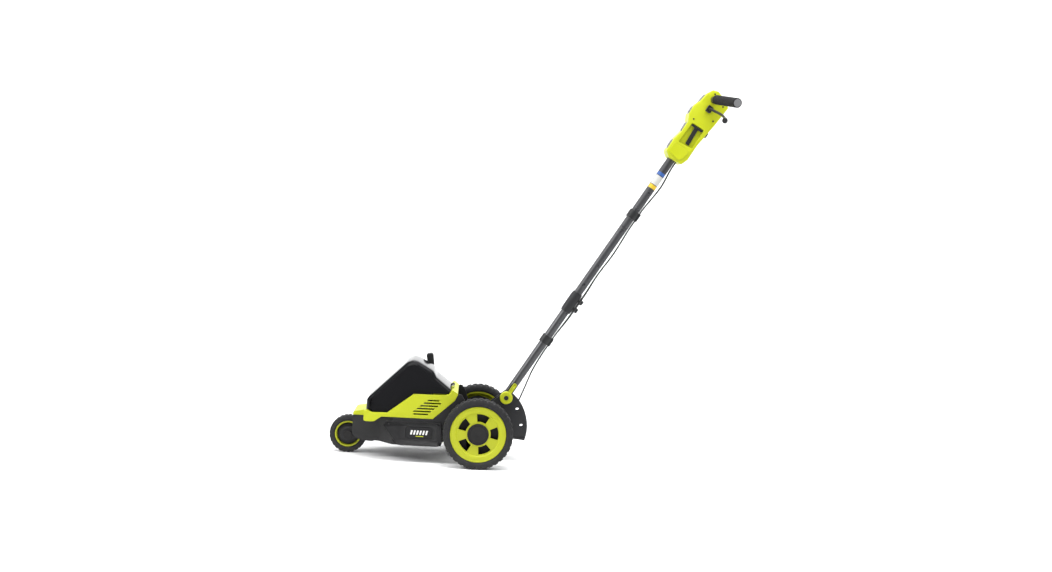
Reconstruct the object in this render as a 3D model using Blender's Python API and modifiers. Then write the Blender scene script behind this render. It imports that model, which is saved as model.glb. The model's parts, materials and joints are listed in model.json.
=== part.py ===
"""Cordless walk-behind lawn edger, modelled as it comes apart on a bench.

Machine frame: x runs from the front wheel (-) to the operator (+) with 0 at the rear axle,
y runs from the near side (-) to the blade side (+), z is height above the ground.
Handle frame: z runs up the handle tube from its pivot, x points to the operator's side.
"""
import math

import bmesh
import bpy
from mathutils import Matrix, Vector

# ---------------------------------------------------------------- driving sizes (metres)
GAP = 0.0003                 # between pieces that touch
RUN = 0.0004                 # radial clearance of a turning piece

TRACK = 0.285                # between the rear wheels' middle planes
WHEEL_R = 0.1016
WHEEL_W = 0.045
RIM_R = 0.081
RIM_W = 0.034
WINDOW_IN = 0.0365
WINDOW_OUT = 0.0590
WINDOWS = 5
HUB_CAP_R = 0.031
AXLE_R = 0.005
BUSH_WALL = 0.0025
AXLE_NUT_R = 0.009
AXLE_NUT_T = 0.0030

FRONT_X = -0.387             # front axle
FRONT_Y = 0.015
FRONT_R = 0.0555
FRONT_W = 0.036
FRONT_AXLE_R = 0.004
FORK_T = 0.004
FORK_GAP = 0.002
FORK_EYE_R = 0.022
FRONT_CAP_R = 0.0135

BODY_HALF = 0.100            # half width of the chassis and the deck band
BODY_WALL = 0.006
BAND_WALL = 0.004
NOSE_NEAR = -0.047
NOSE_FAR = 0.067
NOSE_FRONT = -0.3716
BODY_REAR = -0.030
FLOOR_Z = 0.0500
SPLIT_Z = 0.1222             # where the nose's upper and lower shells meet
PANEL_OUT = 0.008            # raised side panel
BADGE = (-0.2105, -0.1325, 0.0715, 0.1062)
BADGE_T = 0.002
CABLE_Y = 0.005
CABLE_IN_Z = 0.098
BOLT_R = 0.003
BRACKET_BOLT_Z = (0.088, 0.128)
BAY_FRONT = -0.318           # battery bay, open at the top
BAY_REAR = -0.0965
DECK_REAR = -0.1345
DECK_Z = 0.1302
DECK_T = 0.004
BATTERY = (-0.245, -0.140, 0.1347, 0.232, 0.045)
VENT_ROWS = 6
VENT_Z = 0.1424
VENT_STEP = 0.0083
VENT_H = 0.0042
VENT_X = (-0.1920, -0.1925, -0.1825, -0.1725, -0.1625, -0.1510)
VENT_LEN = (0.0430, 0.0515, 0.0510, 0.0510, 0.0495, 0.0330)
COVER_HINGE = (-0.0805, 0.2165)
KNUCKLE_R = 0.0045
KNUCKLE_IN = 0.016
KNUCKLE_W = 0.015
PIN_R = 0.002

COVER_HALF = 0.090
COVER_TOP_HALF = 0.066
COVER_WALL = 0.003
COVER_FOOT_Z = 0.142
COVER_TOP_Z = 0.2945

DRIVE_X = -0.075             # motor shaft, and the arm's pivot
DRIVE_Z = 0.105
BLADE_X = -0.215
BLADE_Z = 0.122
BLADE_R = 0.1016
BLADE_T = 0.0025
GUARD_R = 0.108
GUARD_T = 0.002
GUARD_DEPTH = 0.036
GUARD_LIP = 0.016
LEVER_T = 0.003
LEVER_HALF = 0.008
LEVER_GRIP_HALF = 0.0105
DRIVE_PULLEY_R = 0.012
BLADE_PULLEY_R = 0.020
BELT_T = 0.003
CASE_WALL = 0.002
CASE_Y = 0.1025              # belt case, from its open side
CASE_DEPTH = 0.016
SHAFT_R = 0.004
SPINDLE_R = 0.006
BEARING_R = 0.013
BELT_Y = 0.1085
BELT_W = 0.005
MOTOR_R = 0.028
MOTOR_LEN = 0.062
ROTOR_R = 0.020
GUARD_Y = 0.1224
BLADE_Y = 0.1400
LEVER_TOP = (-0.1575, 0.2880)
LEVER_GRIP_LEN = 0.043
QUADRANT_R = 0.098

HANDLE_LEAN = math.radians(31.67)
PIVOT_X = 0.024
PIVOT_Z = 0.1026
TUBE_R = 0.0127
TUBE_WALL = 0.0016
TUBE_TAIL = 0.012
BRACKET_CLEAR = 0.0013       # between the tube and each side plate of the bracket
BRACKET_T = 0.003
BRACKET_R = 0.123
LOCK_R = 0.105               # radius of the ring of lock holes
LOCK_HOLE_R = 0.006
JOINT_S = 0.449              # tube joint, measured up the handle
COUPLER_LEN = 0.068
COUPLER_WALL = 0.0041
CLIP_S = (0.314, 0.767)
HOUSING_S = 0.965            # lower end of the control housing
HOUSING_HALF = 0.034
HOUSING_WALL = 0.0028
BAR_S = 1.178                # handlebar
BAR_R = 0.010
BAR_HALF = 0.200
BAR_STRAIGHT = 0.047
BAR_SWEEP = 0.040
GRIP_WALL = 0.004
BAIL_X = 0.003
BAIL_S = 1.146
BAIL_R = 0.004
BUTTON_S = 1.085
BUTTON_R = 0.009
CABLE_R = 0.0019
CABLE_CLEAR = 0.0016         # between the tube and the cables behind it
BRACKET_LIP = 0.006
TUBE_TOP_S = 1.118
PIVOT_R = 0.004
LOCK_HOLES = 3
LOCK_STEP = math.radians(28)
LOCK_PIN_R = 0.0055
LOCK_BOSS_R = 0.019
LOCK_BOSS_T = 0.016
LOCK_ARM = 0.050
CARRIER_BOLT_S = 0.137
RECESS_DEPTH = 0.0085
BAIL_KNOB_R = 0.008
BUTTON_FACE = 0.0470

BRACKET_GAP = 2 * (TUBE_R + BRACKET_CLEAR)
GRIP_R = BAR_R + GRIP_WALL
COUPLER_R = TUBE_R + COUPLER_WALL
CABLE_X = TUBE_R + CABLE_CLEAR + CABLE_R

PAINTS = {
    "lime": ((0.56, 0.60, 0.025), 0.35, 0.0),
    "black": ((0.026, 0.026, 0.027), 0.42, 0.0),
    "gloss": ((0.016, 0.016, 0.017), 0.12, 0.0),
    "rubber": ((0.030, 0.029, 0.029), 0.80, 0.0),
    "foam": ((0.016, 0.014, 0.015), 0.90, 0.0),
    "painted_steel": ((0.045, 0.045, 0.048), 0.38, 0.6),
    "steel": ((0.55, 0.56, 0.57), 0.30, 1.0),
    "copper": ((0.60, 0.30, 0.16), 0.35, 1.0),
    "grey": ((0.10, 0.10, 0.11), 0.35, 0.0),
    "board": ((0.02, 0.16, 0.07), 0.45, 0.0),
}

PARTS = None
CUTTERS = None


# ---------------------------------------------------------------- bench tools
def clear_scene():
    for piece in list(bpy.data.objects):
        bpy.data.objects.remove(piece, do_unlink=True)


def new_collection(name):
    group = bpy.data.collections.new(name)
    bpy.context.scene.collection.children.link(group)
    return group


def finish_for(name, paint):
    colour, roughness, metallic = PAINTS[paint]
    material = bpy.data.materials.new(name + "_finish")
    material.use_nodes = True
    shader = material.node_tree.nodes["Principled BSDF"]
    shader.inputs["Base Color"].default_value = (*colour, 1.0)
    shader.inputs["Roughness"].default_value = roughness
    shader.inputs["Metallic"].default_value = metallic
    return material


def settle(name, source, matrix=None, merge=1e-6):
    """Turn a curve or modified object into a plain mesh object with outward faces."""
    bpy.context.view_layer.update()
    graph = bpy.context.evaluated_depsgraph_get()
    mesh = bpy.data.meshes.new_from_object(source.evaluated_get(graph))
    if matrix is not None:
        mesh.transform(matrix)
    work = bmesh.new()
    work.from_mesh(mesh)
    bmesh.ops.remove_doubles(work, verts=work.verts, dist=merge)
    bmesh.ops.recalc_face_normals(work, faces=work.faces)
    work.to_mesh(mesh)
    work.free()
    mesh.shade_smooth()
    mesh.set_sharp_from_angle(angle=math.radians(35))
    bpy.data.objects.remove(source, do_unlink=True)
    piece = bpy.data.objects.new(name, mesh)
    CUTTERS.objects.link(piece)
    piece.hide_render = True
    piece.display_type = "WIRE"
    return piece


PLANES = {
    "XZ": Matrix(((1, 0, 0, 0), (0, 0, -1, 0), (0, 1, 0, 0), (0, 0, 0, 1))),
    "XY": Matrix.Identity(4),
    "YZ": Matrix(((0, 0, 1, 0), (1, 0, 0, 0), (0, 1, 0, 0), (0, 0, 0, 1))),
}
NORMALS = {"XZ": Vector((0, 1, 0)), "XY": Vector((0, 0, 1)), "YZ": Vector((1, 0, 0))}
TURNS = {
    "X": Matrix.Rotation(math.pi / 2, 4, "Y"),
    "Y": Matrix.Rotation(-math.pi / 2, 4, "X"),
    "Z": Matrix.Identity(4),
}


def rounded(points, radius, steps=3):
    """Replace each corner of a closed outline by an arc; radius may be one value or a list."""
    count = len(points)
    radii = radius if isinstance(radius, (list, tuple)) else [radius] * count
    result = []
    for index in range(count):
        corner = Vector(points[index])
        back = Vector(points[index - 1]) - corner
        ahead = Vector(points[(index + 1) % count]) - corner
        reach = min(back.length, ahead.length) * 0.48
        half = back.angle(ahead) / 2
        if radii[index] <= 0 or half > math.radians(88):
            result.append(tuple(corner))
            continue
        trim = min(radii[index] / math.tan(half), reach)
        arc = trim * math.tan(half)
        start = corner + back.normalized() * trim
        end = corner + ahead.normalized() * trim
        middle = corner + (back.normalized() + ahead.normalized()).normalized() * (arc / math.sin(half))
        first = start - middle
        sweep = first.angle_signed(end - middle)
        for step in range(steps + 1):
            turn = Matrix.Rotation(-sweep * step / steps, 2)
            result.append(tuple(middle + turn @ first))
    return result


def inset(points, distance):
    """Move every side of a closed outline inwards by a distance, keeping mitred corners."""
    count = len(points)
    area = sum(points[i - 1][0] * points[i][1] - points[i][0] * points[i - 1][1] for i in range(count))
    side = 1 if area > 0 else -1
    result = []
    for index in range(count):
        corner = Vector(points[index])
        back = (corner - Vector(points[index - 1])).normalized()
        ahead = (Vector(points[(index + 1) % count]) - corner).normalized()
        normal_back = Vector((-back.y, back.x)) * side
        normal_ahead = Vector((-ahead.y, ahead.x)) * side
        mitre = (normal_back + normal_ahead).normalized()
        result.append(tuple(corner + mitre * distance / max(0.3, mitre.dot(normal_back))))
    return result


def prism(name, outline, low, high, plane="XZ", edge=0.0, edge_steps=1):
    """A flat outline with a thickness; edge rounds its two rims."""
    curve = bpy.data.curves.new(name, "CURVE")
    curve.dimensions = "2D"
    curve.fill_mode = "BOTH"
    curve.extrude = (high - low) / 2 - edge
    curve.bevel_depth = edge
    curve.bevel_resolution = edge_steps
    curve.offset = -edge
    spline = curve.splines.new("POLY")
    spline.points.add(len(outline) - 1)
    for point, place in zip(spline.points, outline):
        point.co = (place[0], place[1], 0.0, 1.0)
    spline.use_cyclic_u = True
    source = bpy.data.objects.new(name, curve)
    CUTTERS.objects.link(source)
    shift = Matrix.Translation(NORMALS[plane] * (low + high) / 2)
    return settle(name, source, shift @ PLANES[plane])


def box(name, low, high, edge=0.0, steps=1):
    work = bmesh.new()
    bmesh.ops.create_cube(work, size=1.0)
    middle = [(a + b) / 2 for a, b in zip(low, high)]
    size = [b - a for a, b in zip(low, high)]
    bmesh.ops.scale(work, verts=work.verts, vec=size)
    bmesh.ops.translate(work, verts=work.verts, vec=middle)
    if edge > 0:
        bmesh.ops.bevel(work, geom=work.edges[:], offset=edge, segments=steps, affect="EDGES")
    mesh = bpy.data.meshes.new(name)
    work.to_mesh(mesh)
    work.free()
    source = bpy.data.objects.new(name, mesh)
    CUTTERS.objects.link(source)
    return settle(name, source)


def rod(name, centre, radius, length, axis="Y", sides=16, tip=None):
    """A cylinder, or a cone frustum when tip is given, centred on a point."""
    work = bmesh.new()
    bmesh.ops.create_cone(work, cap_ends=True, segments=sides, radius1=radius,
                          radius2=radius if tip is None else tip, depth=length)
    mesh = bpy.data.meshes.new(name)
    work.to_mesh(mesh)
    work.free()
    source = bpy.data.objects.new(name, mesh)
    CUTTERS.objects.link(source)
    return settle(name, source, Matrix.Translation(centre) @ TURNS[axis])


def turned(name, profile, centre, axis="Y", sides=40, closed=True):
    """Spin a profile of (radius, place along the axis) about an axis through a point."""
    mesh = bpy.data.meshes.new(name)
    count = len(profile)
    edges = [(i, i + 1) for i in range(count - 1)]
    if closed:
        edges.append((count - 1, 0))
    mesh.from_pydata([(r, 0.0, z) for r, z in profile], edges, [])
    source = bpy.data.objects.new(name, mesh)
    CUTTERS.objects.link(source)
    screw = source.modifiers.new("turn", "SCREW")
    screw.steps = sides
    screw.render_steps = sides
    screw.use_merge_vertices = True
    screw.merge_threshold = 0.00005
    return settle(name, source, Matrix.Translation(centre) @ TURNS[axis])


def wire(name, points, radius, resolution=2):
    """A round rod along a list of points with flat ends."""
    curve = bpy.data.curves.new(name, "CURVE")
    curve.dimensions = "3D"
    curve.bevel_depth = radius
    curve.bevel_resolution = resolution
    curve.use_fill_caps = True
    spline = curve.splines.new("POLY")
    spline.points.add(len(points) - 1)
    for point, place in zip(spline.points, points):
        point.co = (*place, 1.0)
    source = bpy.data.objects.new(name, curve)
    CUTTERS.objects.link(source)
    return settle(name, source)


def smooth_path(points, per_span):
    """Points on a Catmull-Rom curve through a list of points."""
    knots = [Vector(p) for p in points]
    knots = [2 * knots[0] - knots[1]] + knots + [2 * knots[-1] - knots[-2]]
    path = []
    for index in range(1, len(knots) - 2):
        a, b, c, d = knots[index - 1:index + 3]
        for step in range(per_span):
            t = step / per_span
            place = 0.5 * (2 * b + (c - a) * t + (2 * a - 5 * b + 4 * c - d) * t * t
                           + (3 * b - a - 3 * c + d) * t * t * t)
            path.append(tuple(place))
    path.append(tuple(knots[-2]))
    return path


def combine(piece, tool, operation):
    change = piece.modifiers.new(operation.lower(), "BOOLEAN")
    change.operation = operation
    change.object = tool
    change.solver = "EXACT"
    tool.parent = piece
    return piece


def cut(piece, *tools):
    for tool in tools:
        combine(piece, tool, "DIFFERENCE")
    return piece


def join(piece, *tools):
    for tool in tools:
        combine(piece, tool, "UNION")
    return piece


def common(piece, tool):
    return combine(piece, tool, "INTERSECT")


def deliver(piece, name, paint, axis):
    """Name a finished piece, give it its finish and hang it on the axis that it turns with."""
    piece.name = name
    CUTTERS.objects.unlink(piece)
    PARTS.objects.link(piece)
    piece.hide_render = False
    piece.display_type = "TEXTURED"
    piece.data.materials.clear()
    piece.data.materials.append(finish_for(name, paint))
    piece.parent = axis
    if axis["shift"]:
        piece.matrix_parent_inverse = Matrix.Translation(-axis.location)
    return piece


def make_axis(name, parent, place, shifted=True, lean=0.0):
    """An empty on a joint's axis. Pieces under a shifted one keep their parent's coordinates."""
    axis = bpy.data.objects.new(name, None)
    axis.empty_display_size = 0.03
    PARTS.objects.link(axis)
    axis.parent = parent
    axis.location = place
    axis.rotation_euler = (0.0, lean, 0.0)
    axis["shift"] = shifted
    return axis


# ---------------------------------------------------------------- rear wheels and axle
def wheel_tyre(name, centre, radius, inner, width, axis, sides=40):
    """A solid tyre with rounded shoulders."""
    half = width / 2
    profile = [
        (inner, half - 0.004), (radius - 0.010, half), (radius - 0.003, half - 0.004),
        (radius, half - 0.010), (radius, -half + 0.010), (radius - 0.003, -half + 0.004),
        (radius - 0.010, -half), (inner, -half + 0.004),
    ]
    tyre = turned(name, profile, centre, sides=sides)
    return deliver(tyre, name, "rubber", axis)


def rim_windows(centre, low, high, inner, outer, count, half_angle):
    """Cutters for the windows between the spokes."""
    tools = []
    for index in range(count):
        middle = math.radians(4.7) + 2 * math.pi * index / count
        start, end = middle - half_angle, middle + half_angle
        arc = [start + (end - start) * step / 4 for step in range(5)]
        outline = [(centre[0] + outer * math.cos(a), centre[2] + outer * math.sin(a)) for a in arc]
        outline += [(centre[0] + inner * math.cos(a), centre[2] + inner * math.sin(a))
                    for a in reversed(arc)]
        tools.append(prism("window", outline, low, high))
    return tools


def rear_wheel(side, axis):
    """Tyre, rim, hub cap, bush and axle nut of one rear wheel; side is -1 near, +1 far."""
    label = "near" if side < 0 else "far"
    centre = (0.0, side * TRACK / 2, WHEEL_R)
    out = side * RIM_W / 2
    face = out * 0.75
    wheel_tyre(label + "_tyre", centre, WHEEL_R, RIM_R + GAP, WHEEL_W, axis)
    bore = AXLE_R + RUN + BUSH_WALL + GAP
    hub = HUB_CAP_R - 0.004
    profile = [
        (RIM_R, out), (RIM_R, -out), (RIM_R - 0.005, -out), (RIM_R - 0.007, out * 0.35),
        (hub, out * 0.35), (hub - 0.004, -out), (bore, -out), (bore, face),
        (hub, face), (WINDOW_OUT + 0.003, out * 0.72), (WINDOW_OUT + 0.006, out),
    ]
    rim = turned(label + "_rim", profile, centre, sides=36)
    low, high = sorted((centre[1] - out, centre[1] + out * 1.4))
    cut(rim, *rim_windows(centre, low, high, WINDOW_IN, WINDOW_OUT, WINDOWS, math.radians(19)))
    deliver(rim, label + "_rim", "lime", axis)

    bush = turned("bush", [(bore - GAP, face), (bore - GAP, -out),
                           (AXLE_R + RUN, -out), (AXLE_R + RUN, face)], centre, sides=24)
    deliver(bush, label + "_wheel_bush", "grey", axis)

    cap_in = centre[1] + face + side * GAP
    cap_out = centre[1] + out + side * 0.0015
    cap = rod("cap", (0, (cap_in + cap_out) / 2, WHEEL_R), HUB_CAP_R, abs(cap_out - cap_in), sides=40)
    cut(cap, rod("well", (0, cap_in, WHEEL_R), AXLE_NUT_R + 0.0015, 2 * (AXLE_NUT_T + 0.0010)))
    deliver(cap, label + "_hub_cap", "black", axis)


def rear_axle(axis):
    """One steel rod through both wheels, with a lock nut in each hub cap's well."""
    end = TRACK / 2 + RIM_W / 2 * 0.75 + GAP
    axle = rod("axle", (0, 0, WHEEL_R), AXLE_R, 2 * end)
    for side in (-1, 1):
        join(axle, rod("nut", (0, side * (end + AXLE_NUT_T / 2 - GAP), WHEEL_R), AXLE_NUT_R, AXLE_NUT_T, sides=6))
    deliver(axle, "rear_axle", "steel", axis)


# ---------------------------------------------------------------- front wheel and fork
def front_wheel(axis):
    centre = (FRONT_X, FRONT_Y, FRONT_R)
    half = FRONT_W / 2
    rim_r = FRONT_R * 0.70
    wheel_tyre("front_tyre", centre, FRONT_R, rim_r + GAP, FRONT_W, axis, sides=32)
    bore = FRONT_AXLE_R + RUN
    profile = [(rim_r, half - 0.003), (rim_r, -half + 0.003), (rim_r - 0.004, -half + 0.003),
               (rim_r - 0.006, -0.004), (0.012, -0.004), (0.010, -half), (bore, -half),
               (bore, half), (0.010, half), (0.012, 0.004), (rim_r - 0.006, 0.004),
               (rim_r - 0.004, half - 0.003)]
    deliver(turned("rim", profile, centre, sides=24), "front_rim", "lime", axis)


def front_fork(axis):
    """A fork that closes behind the wheel; its two arms carry the front axle."""
    low = FRONT_Y - FRONT_W / 2 - FORK_GAP - FORK_T
    high = FRONT_Y + FRONT_W / 2 + FORK_GAP + FORK_T
    back = FRONT_X + FRONT_R + 0.009
    outline = rounded([(FRONT_X - FORK_EYE_R, FRONT_R - FORK_EYE_R), (back, FRONT_R - 0.006),
                       (back, FRONT_R + FORK_EYE_R + 0.006), (FRONT_X - FORK_EYE_R, FRONT_R + FORK_EYE_R)],
                      [FORK_EYE_R - 0.001, 0.004, 0.004, FORK_EYE_R - 0.001], steps=8)
    fork = prism("fork", outline, low, high)
    slot = box("slot", (FRONT_X - 0.1, low + FORK_T, -0.1), (FRONT_X + FRONT_R + 0.0025, high - FORK_T, 0.2))
    bore = rod("bore", (FRONT_X, FRONT_Y, FRONT_R), FRONT_AXLE_R + GAP, 0.1)
    cut(fork, slot, bore)
    deliver(fork, "front_fork", "black", axis)

    axle = rod("axle", (FRONT_X, FRONT_Y, FRONT_R), FRONT_AXLE_R, high - low + 0.002)
    for side, face in ((-1, low), (1, high)):
        join(axle, rod("cap", (FRONT_X, face + side * (GAP + 0.003), FRONT_R), FRONT_CAP_R, 0.006, sides=32))
    deliver(axle, "front_axle", "black", axis)
    return low, high, back


# ---------------------------------------------------------------- chassis shells
def side_outline():
    """The lower housing seen from the side, clockwise from the nose's top corner."""
    return [
        (NOSE_FRONT, SPLIT_Z), (NOSE_FRONT + 0.0026, 0.066), (NOSE_FRONT + 0.0156, 0.0545),
        (NOSE_FRONT + 0.0346, FLOOR_Z - 0.0025), (-0.3085, FLOOR_Z - 0.0025), (-0.3045, FLOOR_Z),
        (-0.118, FLOOR_Z), (-0.101, 0.064), (-0.088, 0.070), (0.010, 0.078), (0.016, 0.086),
        (0.016, 0.122), (0.004, 0.130), (-0.030, 0.150), (-0.042, 0.188), (-0.0525, 0.2045),
        (-0.0625, 0.2064), (-0.0718, 0.1862), (-0.1334, 0.1295), (-0.2826, 0.1299), (-0.2890, SPLIT_Z),
    ]


def plan_outline(shrink):
    """The lower housing seen from above: a narrow nose that widens to the full body."""
    half = BODY_HALF - shrink
    nose_near, nose_far = NOSE_NEAR + shrink, NOSE_FAR - shrink
    front = NOSE_FRONT - 0.01 + 1.4 * shrink * (1 if shrink else 0)
    return [(front, nose_near), (-0.292 + shrink, nose_near - 0.010), (-0.2480 + shrink, -half),
            (0.03, -half), (0.03, half), (-0.290 + shrink, half), (-0.315 + shrink, nose_far), (front, nose_far)]


def lower_housing(axis, fork_low, fork_high, fork_back):
    """Black tub that holds the motor, the fork and the axles."""
    shell = prism("tub", rounded(side_outline(), 0.004, 2), -BODY_HALF, BODY_HALF)
    common(shell, prism("plan", rounded(plan_outline(0.0), 0.006, 2), 0.0, 0.3, "XY"))
    panel = [(-0.2770, 0.1060), (-0.2410, 0.0600), (-0.2250, FLOOR_Z), (-0.1180, FLOOR_Z),
             (-0.1020, 0.0640), (-0.1080, 0.1190), (-0.2680, 0.1190)]
    near = prism("panel", rounded(panel, 0.006, 2), -BODY_HALF - PANEL_OUT, -BODY_HALF + 0.002, edge=0.0015)
    join(shell, near)

    hollow = inset(side_outline(), BODY_WALL)
    low = [p for p in hollow if p[1] < 0.1]
    cavity_outline = [(p[0], max(p[1], FLOOR_Z + BODY_WALL)) for p in low if p[0] < -0.09]
    cavity_outline += [(BODY_REAR - BODY_WALL, 0.082), (BODY_REAR - BODY_WALL, 0.25),
                       (cavity_outline[0][0], 0.25)]
    cavity = prism("cavity", cavity_outline, -BODY_HALF, BODY_HALF)
    common(cavity, prism("plan_in", plan_outline(BODY_WALL), 0.0, 0.3, "XY"))
    cut(shell, cavity)

    half = BODY_HALF - BODY_WALL
    cut(shell, box("rear_gap", (BODY_REAR, -half, 0.0), (0.1, half, 0.3)))
    fork_slot = box("fork_slot", (NOSE_FRONT - 0.05, fork_low - GAP, 0.0),
                    (fork_back + GAP, fork_high + GAP, SPLIT_Z + 0.02))
    cut(shell, fork_slot)
    cut(shell, rod("axle_bore", (0, 0, WHEEL_R), AXLE_R + GAP, 3 * BODY_HALF))
    cut(shell, rod("motor_bore", (DRIVE_X, BODY_HALF, DRIVE_Z), SHAFT_R + 0.002, 0.04))
    low_x, high_x, low_z, high_z = BADGE
    badge_seat = rounded([(low_x, low_z), (high_x, low_z), (high_x, high_z), (low_x, high_z)], 0.006, 4)
    face = -BODY_HALF - PANEL_OUT
    cut(shell, prism("badge_seat", badge_seat, face - 0.01, face + BADGE_T + GAP))
    cut(shell, *[rod("cable_hole", (BODY_REAR, side * CABLE_Y, CABLE_IN_Z), CABLE_R + GAP, 0.04, "X", 12)
                 for side in (-1, 1)])
    cut(shell, *[rod("bolt_hole", (BODY_REAR, 0, z), BOLT_R + GAP, 0.04, "X", 16) for z in BRACKET_BOLT_Z])
    deliver(shell, "lower_housing", "black", axis)


def band_outline():
    """The lime band seen from the side, anticlockwise from the low front corner."""
    return [
        (-0.3346, 0.1176), (-0.3290, 0.1150), (-0.3120, 0.1146), (-0.3030, 0.1160),
        (-0.2829, 0.1302), (-0.1336, 0.1298), (-0.0720, 0.1866), (-0.0628, 0.2068),
        (-0.0796, 0.2177), (-0.0908, 0.2016), (-0.1924, 0.2005), (-0.2663, COVER_FOOT_Z + 0.0009),
        (-0.3091, COVER_FOOT_Z), (-0.3335, 0.1486),
    ]


def deck_band(axis):
    """Lime upper shell: a ring around the battery bay with the nose in front."""
    band = prism("band", rounded(band_outline(), 0.003, 2), -BODY_HALF, BODY_HALF)
    nose = prism("nose", rounded([(NOSE_FRONT, SPLIT_Z + GAP), (-0.325, SPLIT_Z + GAP), (-0.325, 0.1415),
                                  (-0.345, 0.1375), (NOSE_FRONT + 0.003, 0.1335)],
                                 [0.002, 0, 0, 0.01, 0.004], 3), NOSE_NEAR, NOSE_FAR)
    join(band, nose)
    cut(band, prism("tub_room", inset(plan_outline(0.0), -GAP), 0.05, SPLIT_Z + GAP, "XY"))
    half = BODY_HALF - BAND_WALL
    cut(band, box("bay", (BAY_FRONT, -half, 0.0), (BAY_REAR, half, 0.3)))
    for row in range(VENT_ROWS):
        z = VENT_Z + row * VENT_STEP
        start = VENT_X[row]
        end = start + VENT_LEN[row]
        slot = [(start, z - VENT_H / 2), (end, z - VENT_H / 2), (end + VENT_H * 0.6, z + VENT_H / 2),
                (start + VENT_H * 0.6, z + VENT_H / 2)]
        cut(band, prism("vent", slot, -BODY_HALF - 0.01, -half + 0.01))
    x, z = COVER_HINGE
    for side in (-1, 1):
        join(band, rod("lug", (x, side * (KNUCKLE_IN + KNUCKLE_W * 1.5), z), KNUCKLE_R, KNUCKLE_W))
        room_y = side * (KNUCKLE_IN + KNUCKLE_W / 2)
        cut(band, rod("room", (x, room_y, z), KNUCKLE_R + 0.0008, KNUCKLE_W + 2 * GAP))
    cut(band, rod("pin_bore", (x, 0, z), PIN_R + GAP, 0.12, sides=16))
    deliver(band, "deck_band", "lime", axis)


def battery_deck(axis):
    """Floor of the battery bay, resting on the tub's side walls."""
    half = BODY_HALF - BAND_WALL - GAP
    plate = box("deck", (BAY_FRONT + GAP, -half, DECK_Z), (DECK_REAR, half, DECK_Z + DECK_T))
    deliver(plate, "battery_deck", "black", axis)


def battery(axis):
    low = (BATTERY[0], -BATTERY[4], BATTERY[2])
    high = (BATTERY[1], BATTERY[4], BATTERY[3])
    pack = box("pack", low, high, edge=0.006, steps=2)
    middle = (BATTERY[0] + BATTERY[1]) / 2
    join(pack, box("head", (middle - 0.035, -0.030, BATTERY[3] - 0.01), (middle + 0.035, 0.030, BATTERY[3] + 0.006)))
    deliver(pack, "battery_pack", "grey", axis)


# ---------------------------------------------------------------- hinged battery cover
def cover_outline():
    """The cover seen from the side: its foot follows the band, its top is the hump."""
    return [
        (-0.3289, 0.1484), (-0.3093, COVER_FOOT_Z + GAP), (-0.2664, COVER_FOOT_Z + 0.0013),
        (-0.1925, 0.2009), (-0.0911, 0.2020), (-0.0835, 0.2138), (-0.1290, 0.2480),
        (-0.1390, 0.2660), (-0.1850, 0.2915), (-0.2005, COVER_TOP_Z), (-0.2180, 0.2875),
        (-0.3240, 0.1835), (-0.3292, 0.1745),
    ]


COVER_ROUND = [0.001, 0.001, 0.001, 0.001, 0.001, 0.002, 0.010, 0.010, 0.014, 0.012, 0.014, 0.010, 0.006]


def draw_in(piece):
    """Draft the cover's sides so that it narrows towards its top."""
    slope = (1 - COVER_TOP_HALF / COVER_HALF) / (COVER_TOP_Z - COVER_FOOT_Z)
    for vertex in piece.data.vertices:
        vertex.co.y *= 1 - slope * (vertex.co.z - COVER_FOOT_Z)
    return piece


def battery_cover(axis, deck_axis):
    outline = rounded(cover_outline(), COVER_ROUND, 2)
    shell = draw_in(prism("cover", outline, -COVER_HALF, COVER_HALF, edge=0.004, edge_steps=1))
    inner = inset(cover_outline(), COVER_WALL)
    sunk = [(p[0], p[1] - 0.012) if 1 <= index <= 3 else p for index, p in enumerate(inner)]
    sunk[0] = (inner[0][0], inner[0][1] - 0.012)
    sunk[4] = (inner[4][0] - 0.003, inner[4][1] - 0.012)
    sunk[5] = (inner[5][0] - 0.006, inner[5][1] + 0.002)
    room = draw_in(prism("room", sunk, -COVER_HALF + COVER_WALL, COVER_HALF - COVER_WALL))
    cut(shell, room)
    x, z = COVER_HINGE
    for side in (-1, 1):
        lug_y = side * (KNUCKLE_IN + KNUCKLE_W * 1.5)
        knuckle_y = side * (KNUCKLE_IN + KNUCKLE_W / 2)
        cut(shell, rod("room", (x, lug_y, z), KNUCKLE_R + 0.0008, KNUCKLE_W + 0.0008))
        arm = [(x - 0.0095, z - 0.0010), (x - 0.0010, z - 0.0028), (x, z + 0.0040), (x - 0.0080, z + 0.0015)]
        low, high = knuckle_y - (KNUCKLE_W - GAP) / 2, knuckle_y + (KNUCKLE_W - GAP) / 2
        join(shell, prism("arm", arm, low, high), rod("knuckle", (x, knuckle_y, z), KNUCKLE_R, KNUCKLE_W - GAP))
    cut(shell, rod("pin_bore", (x, 0, z), PIN_R + RUN, 0.12, sides=16))
    deliver(shell, "battery_cover", "gloss", axis)
    pin = rod("pin", (x, 0, z), PIN_R, 2 * (KNUCKLE_IN + 2 * KNUCKLE_W), sides=16)
    deliver(pin, "cover_hinge_pin", "steel", deck_axis)


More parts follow.
